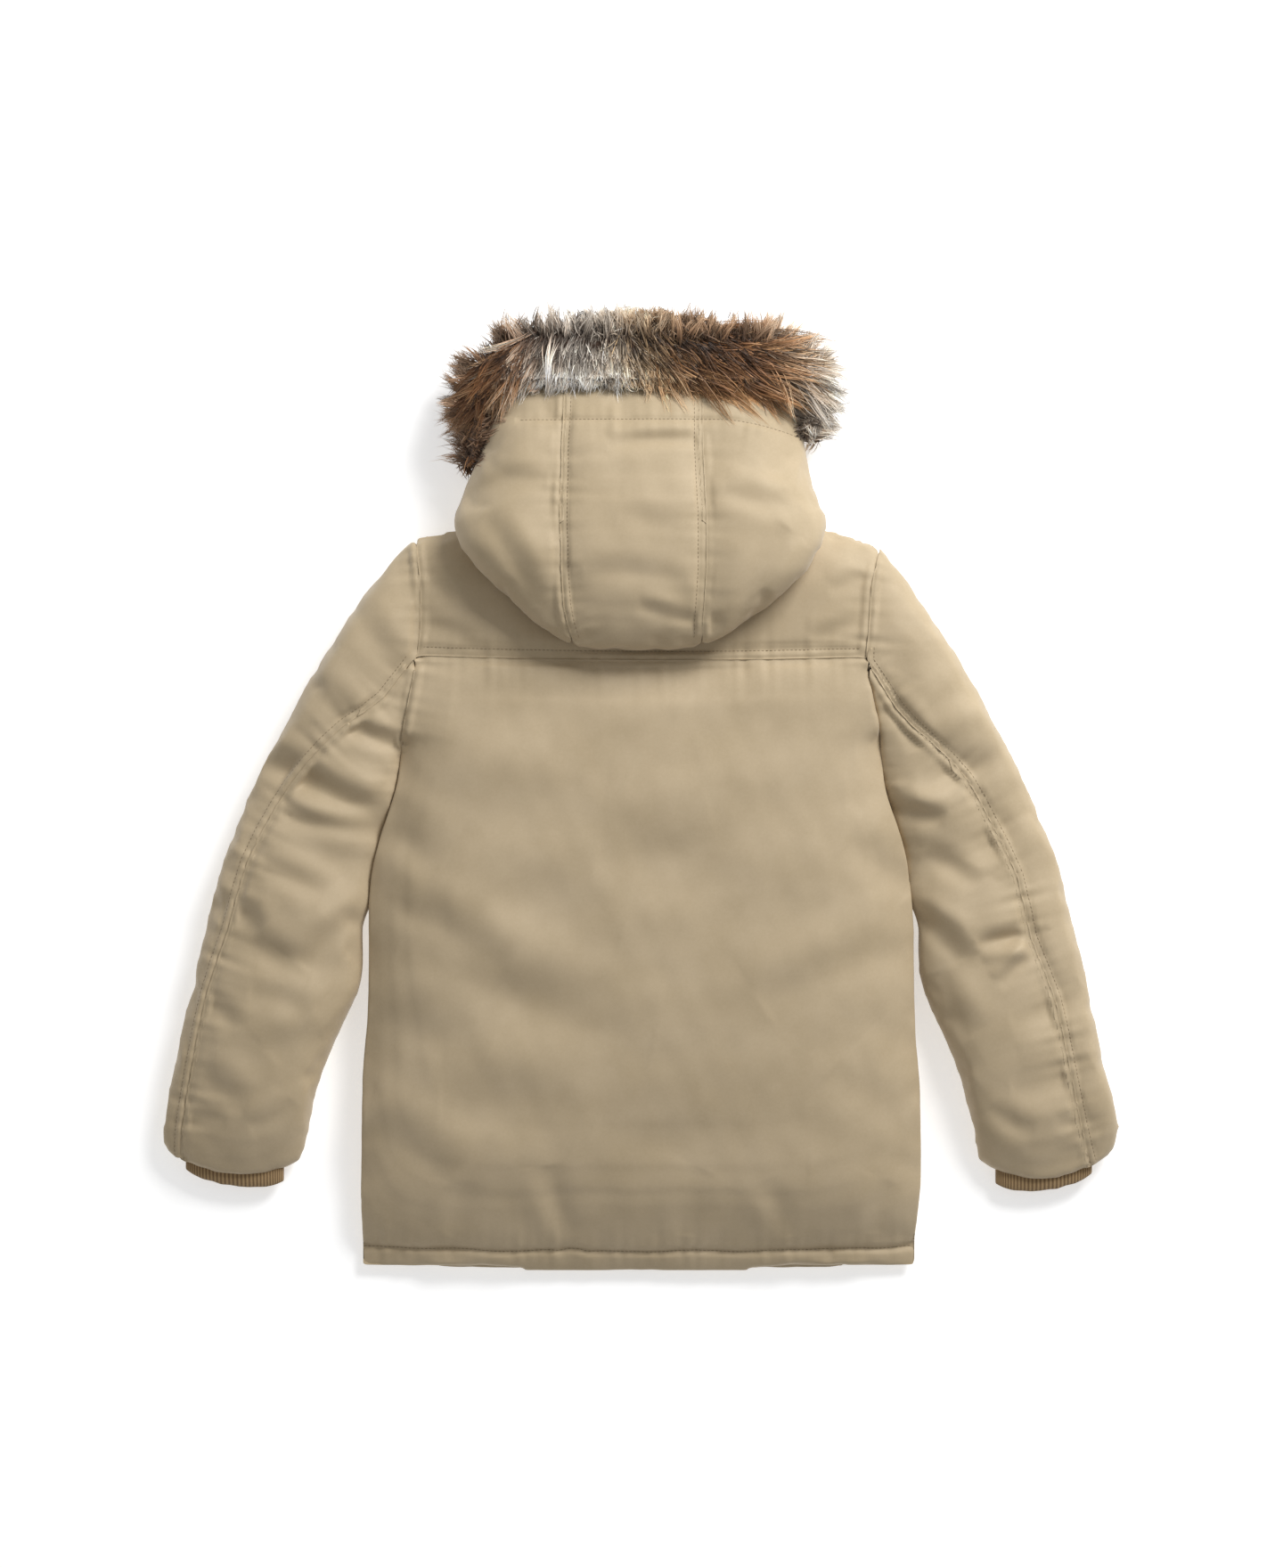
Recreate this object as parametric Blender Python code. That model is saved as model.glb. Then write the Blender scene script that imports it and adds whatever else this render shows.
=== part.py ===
"""Fur trimmed parka, laid flat on its front with its back up and its hood thrown back.

Frame: metres, +Z up, the surface it lies on at z = 0, the hood towards +Y, the hem towards -Y.
The wearer's left is at -X. The origin is under the middle of the garment's box.

Every piece of cloth is a padded wall between two grids of points, its outer face and its inner
face. The inner faces of the upper and lower pieces lie on each other across a thin slit.
Sizes in the tables are millimetres and become metres where a mesh is made.
"""
import math
from collections import namedtuple

import bmesh
import bpy

MM = 0.001
COLLECTION_NAME = "fur_trimmed_parka"

# Gaps and edges, in millimetres
SEAM_GAP = 0.3            # between two pieces sewn edge to edge
SIDE_CLEARANCE = 0.7      # more room between a sleeve's inner edge and the body's side
SLIT = 2.4                # between the upper and the lower layer, inside
EDGE_WALL = 3.2           # height of a padded wall where it is closed at a seam
SLIT_RUN_IN = 14.0        # how far inside a sleeve's or the hood's edge the slit ends

# Shape of the padding
BODY_FULLNESS = 6.0       # how late the body's top rounds down towards its side seams
HEAD_FULLNESS = 5.0       # the same along the armhole
SLEEVE_FULLNESS = 2.8     # the same across a sleeve
HOOD_FULLNESS = 4.5       # the same across the hood
UNDER_ROUNDING = 34.0     # width over which the hood's underside rounds up to its outline
SLEEVE_ROUNDING = 0.24    # the same for a sleeve, as a share of its width
BODY_FLAT_HALF = 185.0    # half the width over which the body lies flat
BODY_COLUMNS = (1.0, 0.82, 0.62, 0.42, 0.21)   # places of points across that width, as shares of it
EDGE_COLUMNS = (1.0, 0.92, 0.75, 0.42)         # places between its border (0) and a side seam (1)

# The yoke seam and the neck
YOKE_SEAM_SHARE = 0.575   # along the armhole, 0 at the shoulder and 1 at the underarm
YOKE_SEAM_DROP = 3.5      # the seam hangs lower at the middle of the back
NECK_Y = 236.0
NECK_RAMP = 0.13          # share of the width over which the shoulder rises to the neck
NECK_DEPTH = 60.0         # how far down the back the shoulder's slope is felt
NECK_SHARE = 0.4          # share of the armhole over which it fades
BODY_REST_HEIGHT = 50.0   # top of the yoke, on which the hood lies
HOOD_LIFT = 0.4           # hood's underside above that
CROWN_FOLD_Y = 121.0      # lowest point of the hood's crown fold
CROWN_FOLD_RISE = 6.0     # the fold curves up to its ends

# Rib cuffs, flattened tubes that stand out of the sleeve ends
CUFF_WALL = 5.0
CUFF_COLUMNS = 18
CUFF_WIDTH_SHARE = 0.73
CUFF_SIDE_WALL_SHARE = 0.05
CUFF_FLATNESS = 0.4

# Side rows of the body from the hem up to the underarm. lift is the height of the underside at an
# edge that doesn't rest, and drop is how far the row hangs below its ends in the middle.
SideRow = namedtuple("SideRow", "y left right crown middle lift drop")
SIDE_ROWS = [
    SideRow(y=-430, left=-254, right=245, crown=13.0, middle=8.5, lift=4.5, drop=6.0),
    SideRow(y=-426, left=-258, right=249, crown=17.0, middle=8.5, lift=0.0, drop=5.5),
    SideRow(y=-420, left=-259, right=252, crown=17.5, middle=8.5, lift=0.0, drop=5.0),
    SideRow(y=-413, left=-257, right=253, crown=13.0, middle=8.5, lift=0.0, drop=4.0),
    SideRow(y=-407, left=-258, right=255, crown=20.0, middle=9.5, lift=0.0, drop=3.0),
    SideRow(y=-395, left=-257, right=255, crown=31.0, middle=14.0, lift=0.0, drop=1.5),
    SideRow(y=-372, left=-256, right=254, crown=43.0, middle=20.0, lift=0.0, drop=0.5),
    SideRow(y=-324, left=-256, right=256, crown=53.0, middle=25.0, lift=0.0, drop=0.0),
    SideRow(y=-260, left=-254, right=252, crown=58.0, middle=28.0, lift=0.0, drop=0.0),
    SideRow(y=-212, left=-250, right=249, crown=60.0, middle=29.0, lift=0.0, drop=0.0),
    SideRow(y=-176, left=-249, right=248, crown=61.0, middle=30.0, lift=0.0, drop=0.0),
    SideRow(y=-140, left=-249, right=247, crown=62.0, middle=30.0, lift=0.0, drop=0.0),
    SideRow(y=-100, left=-249, right=247, crown=62.0, middle=30.0, lift=0.0, drop=0.0),
    SideRow(y=-60, left=-247, right=245, crown=62.0, middle=30.0, lift=0.0, drop=0.0),
    SideRow(y=-24, left=-239, right=237, crown=61.0, middle=30.0, lift=0.0, drop=0.0),
    SideRow(y=16, left=-223, right=221, crown=60.0, middle=30.0, lift=0.0, drop=0.0),
]

# The armhole seam, by its share from the shoulder tip (0) down to the underarm (1).
LEFT_SHOULDER_Y = 225.6
LEFT_UNDERARM_Y = 40.0
RIGHT_SHOULDER_Y = 217.0
RIGHT_UNDERARM_Y = 44.0
ArmholeRow = namedtuple("ArmholeRow", "share left right crown middle")
ARMHOLE = [
    ArmholeRow(share=0.00, left=-203, right=214, crown=48.0, middle=22.0),
    ArmholeRow(share=0.20, left=-198, right=205, crown=50.0, middle=24.0),
    ArmholeRow(share=0.41, left=-197, right=203, crown=50.0, middle=25.0),
    ArmholeRow(share=0.57, left=-200, right=200, crown=50.0, middle=26.0),
    ArmholeRow(share=0.73, left=-206, right=205, crown=54.0, middle=27.0),
    ArmholeRow(share=0.88, left=-212, right=211, crown=57.0, middle=28.0),
    ArmholeRow(share=1.00, left=-216, right=216, crown=59.0, middle=29.0),
]
BACK_SHARES = (1.0, 0.96, 0.89, 0.80, 0.71, 0.64)
YOKE_SHARES = (0.51, 0.44, 0.34, 0.22, 0.12, 0.04, 0.0)
YOKE_SEAM_DIP = 3.0       # the padding is drawn down at the seam
SEAM_DIP_REACH = 0.05     # share of the armhole that the dip takes on each side

# Sleeve stations from the armhole to the cuff end: outer and inner edge, crown, middle height, how
# far the station bulges towards the cuff, and the back seam's share from the outer to the inner edge.
Station = namedtuple("Station", "outer_x outer_y inner_x inner_y crown middle bulge seam")
LEFT_SLEEVE = [
    Station(-203.5, 225.6, -216.5, 40.0, 50.0, 24.0, 0.0, 0.57),
    Station(-241, 188, -223.5, 16, 52.0, 25.0, 0.0, 0.62),
    Station(-287, 124, -239.5, -24, 54.0, 26.0, 0.0, 0.46),
    Station(-322, 60, -247.5, -60, 50.0, 26.0, 0.0, 0.31),
    Station(-346, 12, -249.5, -100, 46.0, 25.0, 0.0, 0.22),
    Station(-372, -52, -249.5, -140, 52.0, 25.0, 0.0, 0.16),
    Station(-391, -116, -251.0, -176, 50.0, 25.0, 0.0, 0.155),
    Station(-406, -180, -265, -212, 50.0, 24.0, 0.0, 0.12),
    Station(-420, -244, -282, -260, 47.0, 22.0, 2.0, 0.13),
    Station(-431, -304, -297, -308, 36.0, 17.0, 8.0, 0.135),
    Station(-429, -327, -305, -335, 24.0, 12.0, 17.0, 0.12),
]
RIGHT_SLEEVE = [
    Station(214.5, 217.0, 216.5, 44.0, 50.0, 24.0, 0.0, 0.60),
    Station(240, 186, 221.5, 16, 52.0, 25.0, 0.0, 0.67),
    Station(286, 124, 237.5, -24, 54.0, 26.0, 0.0, 0.56),
    Station(321, 60, 245.5, -60, 51.0, 26.0, 0.0, 0.42),
    Station(344, 12, 247.5, -100, 48.0, 25.0, 0.0, 0.35),
    Station(370, -52, 247.5, -140, 52.0, 25.0, 0.0, 0.29),
    Station(389, -116, 250.0, -176, 49.0, 25.0, 0.0, 0.30),
    Station(404, -180, 263, -212, 50.0, 24.0, 0.0, 0.25),
    Station(418, -244, 280, -260, 47.0, 22.0, 2.0, 0.26),
    Station(431, -304, 296, -308, 36.0, 17.0, 9.0, 0.26),
    Station(424, -329, 302, -335, 24.0, 12.0, 20.0, 0.16),
]
STATIONS_PER_ROW = 2
SLEEVE_COLUMNS = 7
FRONT_SEAM_SHARE = 0.5    # hidden seam under the sleeve
SLIT_TIP = 0.15           # the slit's last point, as a share of the way on to the edge

# Rows of the hood from the mouth down to the crown fold: outline, the two seams beside the centre
# strip, the top of the dome and the slit between the hood's own layers.
HoodRow = namedtuple("HoodRow", "y left right seam_left seam_right crown middle")
HOOD = [
    HoodRow(352.0, -132, 142, -69, 54, 66.0, 31.0),
    HoodRow(322.0, -139, 144, -70, 54, 79.0, 38.0),
    HoodRow(304.0, -143, 147, -71, 54, 85.0, 41.0),
    HoodRow(280.0, -153, 151, -71, 55, 91.0, 46.0),
    HoodRow(258.0, -160, 158, -72, 56, 96.0, 53.0),
    HoodRow(244.0, -166, 164, -72, 57, 99.0, 58.0),
    HoodRow(232.0, -168, 166, -72, 57, 100.0, 62.0),
    HoodRow(214.0, -160, 160, -71, 57, 102.0, 66.0),
    HoodRow(193.0, -144, 148, -71, 57, 101.0, 68.0),
    HoodRow(177.0, -130, 132, -70, 56, 99.0, 69.0),
    HoodRow(161.0, -112, 114, -69, 55, 96.0, 69.0),
    HoodRow(146.0, -94, 92, -66, 54, 91.0, 68.0),
    HoodRow(136.0, -78, 77, -63, 54, 86.0, 67.0),
    HoodRow(129.0, -66, 59, -61, 53, 80.0, 66.0),
]
NECK_STEP = 0.3           # the hood steps down from the yoke to the ground over this length
HOOD_ROWS_FLOOR = (352.0, 337.0, 322.0, 304.0, 280.0, 258.0, 244.0, NECK_Y + 2 * NECK_STEP)
HOOD_ROWS_YOKE = (NECK_Y + NECK_STEP, 224.0, 214.0, 193.0, 177.0, 161.0, 146.0, 136.0, 129.0)
SIDE_COLUMNS = 7
CENTRE_COLUMNS = 6
FOLD_TIP_Y = 134.0        # end of the slit inside the crown fold
FOLD_ANGLES = (60.0, 0.0, -60.0)   # points round the fold, in degrees from its tip
FOLD_STEP = 0.6           # least distance of the slit's other points from its end

# Fur trim stations round the mouth: inner edge on the hood, outer edge of the hair's reach, and its
# lowest and highest point.
FurStation = namedtuple("FurStation", "inner_x inner_y outer_x outer_y low high")
FUR = [
    FurStation(-153.6, 280, -158, 282, 22.0, 52.0),
    FurStation(-143.6, 304, -158, 303, 10.0, 60.0),
    FurStation(-139.6, 322, -158, 325, 4.0, 66.0),
    FurStation(-132.6, 352, -167, 351, 1.0, 72.0),
    FurStation(-130, 352.5, -152, 386, 1.0, 76.0),
    FurStation(-96, 352.5, -112, 416, 1.0, 80.0),
    FurStation(-50, 352.5, -58, 428, 1.0, 82.0),
    FurStation(0, 352.5, 0, 436, 1.0, 82.0),
    FurStation(50, 352.5, 56, 425, 1.0, 82.0),
    FurStation(104, 352.5, 118, 414, 1.0, 80.0),
    FurStation(140, 352.5, 156, 392, 1.0, 76.0),
    FurStation(142.6, 352, 171, 360, 1.0, 72.0),
    FurStation(144.6, 322, 164, 332, 4.0, 66.0),
    FurStation(147.6, 304, 151, 306, 14.0, 56.0),
]
FUR_COLUMNS = 6
FUR_MIDDLE = 0.45         # height of its outer edge between lowest and highest
FUR_ROUNDNESS = 2.5
FUR_EDGE = 1.0            # its thickness at the outer edge

Finish = namedtuple("Finish", "name colour roughness")
TWILL = Finish("sand_twill", (0.456, 0.381, 0.270, 1.0), 0.85)
RIB_KNIT = Finish("tan_rib_knit", (0.262, 0.168, 0.095, 1.0), 0.95)
FUR_HAIR = Finish("brown_fur", (0.150, 0.098, 0.062, 1.0), 0.90)


def mix(start, end, share):
    """Value at a share of the way from start to end."""
    return start + (end - start) * share


def look_up(rows, key, column, at):
    """Value of a column where the key column has the value at, straight between the rows."""
    ordered = sorted(rows, key=lambda row: getattr(row, key))
    before = ordered[0]
    for row in ordered[1:]:
        if at <= getattr(row, key):
            span = getattr(row, key) - getattr(before, key)
            share = max(0.0, (at - getattr(before, key)) / span)
            return mix(getattr(before, column), getattr(row, column), share)
        before = row
    return getattr(before, column)


def fullness(share, power):
    """0 at both edges, 1 in the middle, later to round down with a higher power."""
    return math.sqrt(max(0.0, 1.0 - abs(2.0 * share - 1.0) ** power))


def rounding(distance, reach):
    """1 at an edge, falling in a quarter round to 0 at the reach."""
    if distance >= reach:
        return 0.0
    return 1.0 - math.sqrt(1.0 - (1.0 - distance / reach) ** 2)


def eased(count):
    """Shares from 0 to 1, closer together at both ends."""
    return [(1.0 - math.cos(math.pi * index / (count - 1))) / 2.0 for index in range(count)]


def eased_start(count):
    """Shares from 0 to 1, closer together near 1."""
    return [math.sin(math.pi / 2.0 * index / (count - 1)) for index in range(count)]


def slit_height(opening):
    """Half the slit between two layers, from a seam gap (0) to its full height (1)."""
    return mix(SEAM_GAP / 2, SLIT / 2, min(1.0, opening))


def build_piece(name, outer, inner, finish, closed=False):
    """Make one closed solid between an outer and an inner grid of points, each [row][column]."""
    rows = len(outer)
    columns = len(outer[0])
    mesh = bpy.data.meshes.new(name)
    work = bmesh.new()
    grids = []
    for grid in (outer, inner):
        grids.append([[work.verts.new([value * MM for value in point]) for point in row] for row in grid])
    last = columns if closed else columns - 1
    for grid in grids:
        for row in range(rows - 1):
            for column in range(last):
                after = (column + 1) % columns
                work.faces.new((grid[row][column], grid[row][after], grid[row + 1][after], grid[row + 1][column]))
    top, under = grids
    for row in (0, rows - 1):
        for column in range(last):
            after = (column + 1) % columns
            work.faces.new((top[row][column], top[row][after], under[row][after], under[row][column]))
    if not closed:
        for column in (0, columns - 1):
            for row in range(rows - 1):
                work.faces.new((top[row][column], top[row + 1][column], under[row + 1][column], under[row][column]))
    bmesh.ops.recalc_face_normals(work, faces=work.faces)
    work.to_mesh(mesh)
    work.free()
    mesh.shade_smooth()
    mesh.set_sharp_from_angle(angle=math.radians(40))
    piece = bpy.data.objects.new(name, mesh)
    bpy.data.collections[COLLECTION_NAME].objects.link(piece)
    piece.data.materials.append(make_material(name, finish))
    return piece


def make_material(name, finish):
    """One plain Principled material for a piece."""
    material = bpy.data.materials.new(f"{name}_{finish.name}")
    material.use_nodes = True
    shader = material.node_tree.nodes["Principled BSDF"]
    shader.inputs["Base Color"].default_value = finish.colour
    shader.inputs["Roughness"].default_value = finish.roughness
    shader.inputs["Metallic"].default_value = 0.0
    return material


# ---- Body ------------------------------------------------------------------------------------------

def armhole_point(side, share):
    """Place of the armhole seam in plan, at a share from the shoulder tip to the underarm."""
    if side == "left":
        return look_up(ARMHOLE, "share", "left", share), mix(LEFT_SHOULDER_Y, LEFT_UNDERARM_Y, share)
    return look_up(ARMHOLE, "share", "right", share), mix(RIGHT_SHOULDER_Y, RIGHT_UNDERARM_Y, share)


def armhole_heights(share):
    """Top, middle and underside height along the armhole."""
    middle = look_up(ARMHOLE, "share", "middle", share)
    crown = look_up(ARMHOLE, "share", "crown", share)
    top = mix(middle, crown, fullness(share, HEAD_FULLNESS))
    length = LEFT_SHOULDER_Y - LEFT_UNDERARM_Y
    underside = middle * rounding(min(share, 1.0 - share) * length, UNDER_ROUNDING)
    return top, middle, underside


BodyRow = namedtuple("BodyRow", "left right drop neck crown middle lift edge_top edge_under")


def side_body_row(row):
    """Row of the body between two side seams."""
    return BodyRow(
        left=(row.left, row.y), right=(row.right, row.y), drop=row.drop, neck=0.0, crown=row.crown,
        middle=row.middle, lift=row.lift, edge_top=row.middle, edge_under=row.middle - row.lift)


def armhole_body_row(share, shift=0.0):
    """Row of the body between the two armholes, moved by shift towards the hem."""
    left_x, left_y = armhole_point("left", share)
    right_x, right_y = armhole_point("right", share)
    edge_top, middle, edge_under = armhole_heights(share)
    crown = look_up(ARMHOLE, "share", "crown", share)
    lift = 0.0
    if share < YOKE_SEAM_SHARE:
        crown = mix(middle, crown, fullness(min(share, 0.5), HEAD_FULLNESS))
        lift = edge_under if share < 0.5 else 0.0
    near_seam = max(0.0, 1.0 - abs(share - YOKE_SEAM_SHARE) / SEAM_DIP_REACH)
    dip = YOKE_SEAM_DIP * near_seam
    drop = YOKE_SEAM_DROP * max(0.0, 1.0 - abs(share - YOKE_SEAM_SHARE) / NECK_SHARE)
    return BodyRow(
        left=(left_x, left_y - shift), right=(right_x, right_y - shift), drop=drop,
        neck=max(0.0, 1.0 - share / NECK_SHARE), crown=crown - dip, middle=middle, lift=lift,
        edge_top=edge_top - dip, edge_under=edge_under - lift)


def body_point(row, column, layer):
    """Point of a body row. Columns -1 to 1 span the flat width, and 1 to 2 reach a side seam.

    Layers: top, above (upper wall of the slit), below (lower wall of the slit), under.
    """
    to_seam = max(0.0, abs(column) - 1.0)
    edge = row.left[0] if column < 0 else row.right[0]
    border = math.copysign(BODY_FLAT_HALF, column)
    x = mix(border, edge, to_seam) if to_seam else column * BODY_FLAT_HALF
    share = (x - row.left[0]) / (row.right[0] - row.left[0])
    y = mix(row.left[1], row.right[1], share) - row.drop * 4.0 * share * (1.0 - share)
    to_edge = min(share, 1.0 - share)
    y = mix(y, NECK_Y - (1.0 - row.neck) * NECK_DEPTH, row.neck * min(1.0, to_edge / NECK_RAMP))
    slit = slit_height(1.0 - to_seam)
    if layer == "above":
        return x, y, row.middle + slit
    if layer == "below":
        return x, y, row.middle - slit
    if layer == "top":
        height = mix(row.edge_top, row.crown, fullness(share, BODY_FULLNESS))
        return x, y, max(height, row.middle + slit + EDGE_WALL)
    height = row.lift + row.edge_under * rounding(1.0 - to_seam, 1.0)
    return x, y, max(0.0, min(height, row.middle - slit - EDGE_WALL))


def body_grid(rows, columns, layer):
    """Grid of body points."""
    return [[body_point(row, column, layer) for column in columns] for row in rows]


def build_body():
    """Back, yoke and the two fronts."""
    right = [1.0 + share for share in EDGE_COLUMNS] + list(BODY_COLUMNS)
    across = [-column for column in right] + [0.0] + right[::-1]
    sides = [side_body_row(row) for row in SIDE_ROWS]
    low_armhole = [armhole_body_row(share) for share in BACK_SHARES]
    high_armhole = [armhole_body_row(share) for share in YOKE_SHARES]
    back_rows = sides + low_armhole + [armhole_body_row(YOKE_SEAM_SHARE, SEAM_GAP / 2)]
    yoke_rows = [armhole_body_row(YOKE_SEAM_SHARE, -SEAM_GAP / 2)] + high_armhole
    for name, rows in (("back_panel", back_rows), ("back_yoke", yoke_rows)):
        build_piece(name, body_grid(rows, across, "top"), body_grid(rows, across, "above"), TWILL)
    front_rows = sides + low_armhole + [armhole_body_row(YOKE_SEAM_SHARE)] + high_armhole
    closure = SEAM_GAP / 2 / BODY_FLAT_HALF
    for name, side in (("front_left", -1.0), ("front_right", 1.0)):
        columns = [side * column for column in right] + [side * closure]
        build_piece(name, body_grid(front_rows, columns, "under"), body_grid(front_rows, columns, "below"), TWILL)


# ---- Sleeves ---------------------------------------------------------------------------------------

def fine_stations(stations):
    """Stations with more between them, on a smooth curve through the given ones."""
    fine = []
    for index in range(len(stations) - 1):
        around = [stations[max(0, index - 1)], stations[index], stations[index + 1],
                  stations[min(len(stations) - 1, index + 2)]]
        for step in range(STATIONS_PER_ROW):
            share = step / STATIONS_PER_ROW
            fine.append((index + share, Station(*[smooth_value(values, share) for values in zip(*around)])))
    fine.append((len(stations) - 1, stations[-1]))
    return fine


def smooth_value(values, share):
    """Catmull-Rom value between the second and third of four values."""
    before, start, end, after = values
    return start + 0.5 * share * (
        end - before + share * (2 * before - 5 * start + 4 * end - after
                                + share * (3 * (start - end) + after - before)))


def sleeve_point(side, place, station, share, layer):
    """Point of a sleeve station at a share from its outer to its inner edge."""
    x = mix(station.outer_x, station.inner_x, share)
    y = mix(station.outer_y, station.inner_y, share) - station.bulge * 4.0 * share * (1.0 - share)
    head = max(0.0, 1.0 - place)
    outward = -1.0 if side == "left" else 1.0
    seam_x, _ = armhole_point(side, share)
    straight = mix(armhole_point(side, 0.0)[0], armhole_point(side, 1.0)[0], share)
    x += (seam_x - straight) * head + outward * SIDE_CLEARANCE * share * min(1.0, 2.0 * place)
    slit = SLIT / 2
    power = mix(SLEEVE_FULLNESS, HEAD_FULLNESS, head)
    if layer == "top":
        height = mix(station.middle, station.crown, fullness(share, power))
        return x, y, max(height, station.middle + slit + EDGE_WALL)
    if layer == "under":
        height = station.middle * rounding(min(share, 1.0 - share), SLEEVE_ROUNDING)
        return x, y, max(0.0, min(height, station.middle - slit - EDGE_WALL))
    return x, y, station.middle + (slit if layer == "above" else -slit)


def sleeve_grids(side, stations, edge, seam_side):
    """Outer and inner grid of one sleeve piece, wrapped round the sleeve's edge at share 0 or 1."""
    outer = []
    inner = []
    for place, station in stations:
        width = math.hypot(station.inner_x - station.outer_x, station.inner_y - station.outer_y)
        gap = SEAM_GAP / 2 / width
        back = station.seam + seam_side * gap
        front = FRONT_SEAM_SHARE + seam_side * gap
        tip = mix(edge, back, min(0.5, SLIT_RUN_IN / width / abs(back - edge)))
        over = eased_start(SLEEVE_COLUMNS)[:-1]
        below = over[::-1]
        outer_row = [sleeve_point(side, place, station, mix(back, edge, share), "top") for share in over]
        outer_row.append(edge_point(side, place, station, edge))
        outer_row += [sleeve_point(side, place, station, mix(front, edge, share), "under") for share in below]
        inner_row = [sleeve_point(side, place, station, mix(back, tip, share), "above") for share in over]
        inner_row.append(edge_point(side, place, station, mix(tip, edge, SLIT_TIP)))
        inner_row += [sleeve_point(side, place, station, mix(front, tip, share), "below") for share in below]
        outer.append(outer_row)
        inner.append(inner_row)
    return outer, inner


def edge_point(side, place, station, share):
    """Point of a sleeve station at its middle height."""
    x, y, _ = sleeve_point(side, place, station, share, "top")
    return x, y, station.middle


def build_sleeve(side, table):
    """The two pieces of one sleeve."""
    stations = fine_stations(table)
    for part, edge, seam_side in (("outer", 0.0, -1.0), ("inner", 1.0, 1.0)):
        outer, inner = sleeve_grids(side, stations, edge, seam_side)
        build_piece(f"sleeve_{side}_{part}", outer, inner, TWILL)


# ---- Cuffs -----------------------------------------------------------------------------------------

CuffRow = namedtuple("CuffRow", "out height")
CUFF_ROWS = [
    CuffRow(out=0.9, height=19.0),
    CuffRow(out=5.0, height=17.0),
    CuffRow(out=9.0, height=15.0),
    CuffRow(out=11.0, height=12.5),
]


def end_point(station, share):
    """Plan place on the sleeve's end at a share from its outer to its inner edge."""
    x = mix(station.outer_x, station.inner_x, share)
    y = mix(station.outer_y, station.inner_y, share) - station.bulge * 4.0 * share * (1.0 - share)
    return x, y


def flattened(turn):
    """Height from -1 to 1 round a flattened tube."""
    height = math.sin(turn)
    return math.copysign(abs(height) ** CUFF_FLATNESS, height) if abs(height) > 1e-6 else 0.0


def build_cuff(side, station):
    """Flattened rib tube that stands out of the sleeve end."""
    outer = []
    inner = []
    start = (1.0 - CUFF_WIDTH_SHARE) / 2
    inner_start = start + CUFF_SIDE_WALL_SHARE
    for row in CUFF_ROWS:
        outer_row = []
        inner_row = []
        for index in range(CUFF_COLUMNS):
            turn = 2 * math.pi * index / CUFF_COLUMNS
            across = 0.5 - 0.5 * math.cos(turn)
            for points, edge, half in ((outer_row, start, row.height / 2),
                                       (inner_row, inner_start, row.height / 2 - CUFF_WALL)):
                x, y = end_point(station, mix(edge, 1.0 - edge, across))
                points.append((x, y - row.out, station.middle + half * flattened(turn)))
        outer.append(outer_row)
        inner.append(inner_row)
    build_piece(f"cuff_{side}", outer, inner, RIB_KNIT, closed=True)


# ---- Hood ------------------------------------------------------------------------------------------

def hood_value(column, y):
    """Value of a hood column at a place along the hood."""
    return look_up(HOOD, "y", column, y)


def hood_top(x, y):
    """Height of the hood's outside over a place."""
    left = hood_value("left", y)
    share = (x - left) / (hood_value("right", y) - left)
    middle = hood_value("middle", y)
    height = mix(middle, hood_value("crown", y), fullness(share, HOOD_FULLNESS))
    return max(height, middle + EDGE_WALL)


def hood_under(x, y):
    """Height of the hood's underside, on the yoke below the neck and on the ground above it."""
    to_outline = min(x - hood_value("left", y), hood_value("right", y) - x)
    middle = hood_value("middle", y)
    if y > NECK_Y + 1.5 * NECK_STEP:
        return min(middle * rounding(to_outline, UNDER_ROUNDING), middle - EDGE_WALL)
    base = BODY_REST_HEIGHT + HOOD_LIFT
    distance = min(to_outline, y - CROWN_FOLD_Y)
    return min(base + (middle - base) * rounding(distance, UNDER_ROUNDING / 2), middle - EDGE_WALL)


def build_hood_side(side):
    """Hood side piece, wrapped round its outline from the seam on top to its edge below."""
    outward = "left" if side == "left" else "right"
    sign = -1.0 if side == "left" else 1.0
    outer = []
    inner = []
    for y in HOOD_ROWS_FLOOR + HOOD_ROWS_YOKE:
        outline = hood_value(outward, y)
        seam = hood_value(f"seam_{outward}", y) + sign * SEAM_GAP / 2
        below = sign * SEAM_GAP / 2 if y in HOOD_ROWS_FLOOR else seam
        middle = hood_value("middle", y)
        width = abs(outline - seam)
        tip = outline - sign * min(SLIT_RUN_IN, width / 2)
        over = [mix(seam, outline, share) for share in eased_start(SIDE_COLUMNS)]
        under = [mix(below, outline, share) for share in reversed(eased_start(SIDE_COLUMNS))][1:]
        outer_row = [(x, y, hood_top(x, y)) for x in over[:-1]]
        outer_row.append((outline, y, middle))
        outer_row += [(x, y, hood_under(x, y)) for x in under]
        inner_row = [(mix(seam, tip, share), y, middle + SLIT / 2) for share in eased_start(SIDE_COLUMNS)[:-1]]
        inner_row.append((mix(tip, outline, SLIT_TIP), y, middle))
        inner_row += [(mix(below, tip, share), y, middle - SLIT / 2)
                      for share in list(reversed(eased_start(SIDE_COLUMNS)))[1:]]
        outer.append(outer_row)
        inner.append(inner_row)
    build_piece(f"hood_{side}", outer, inner, TWILL)


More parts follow.
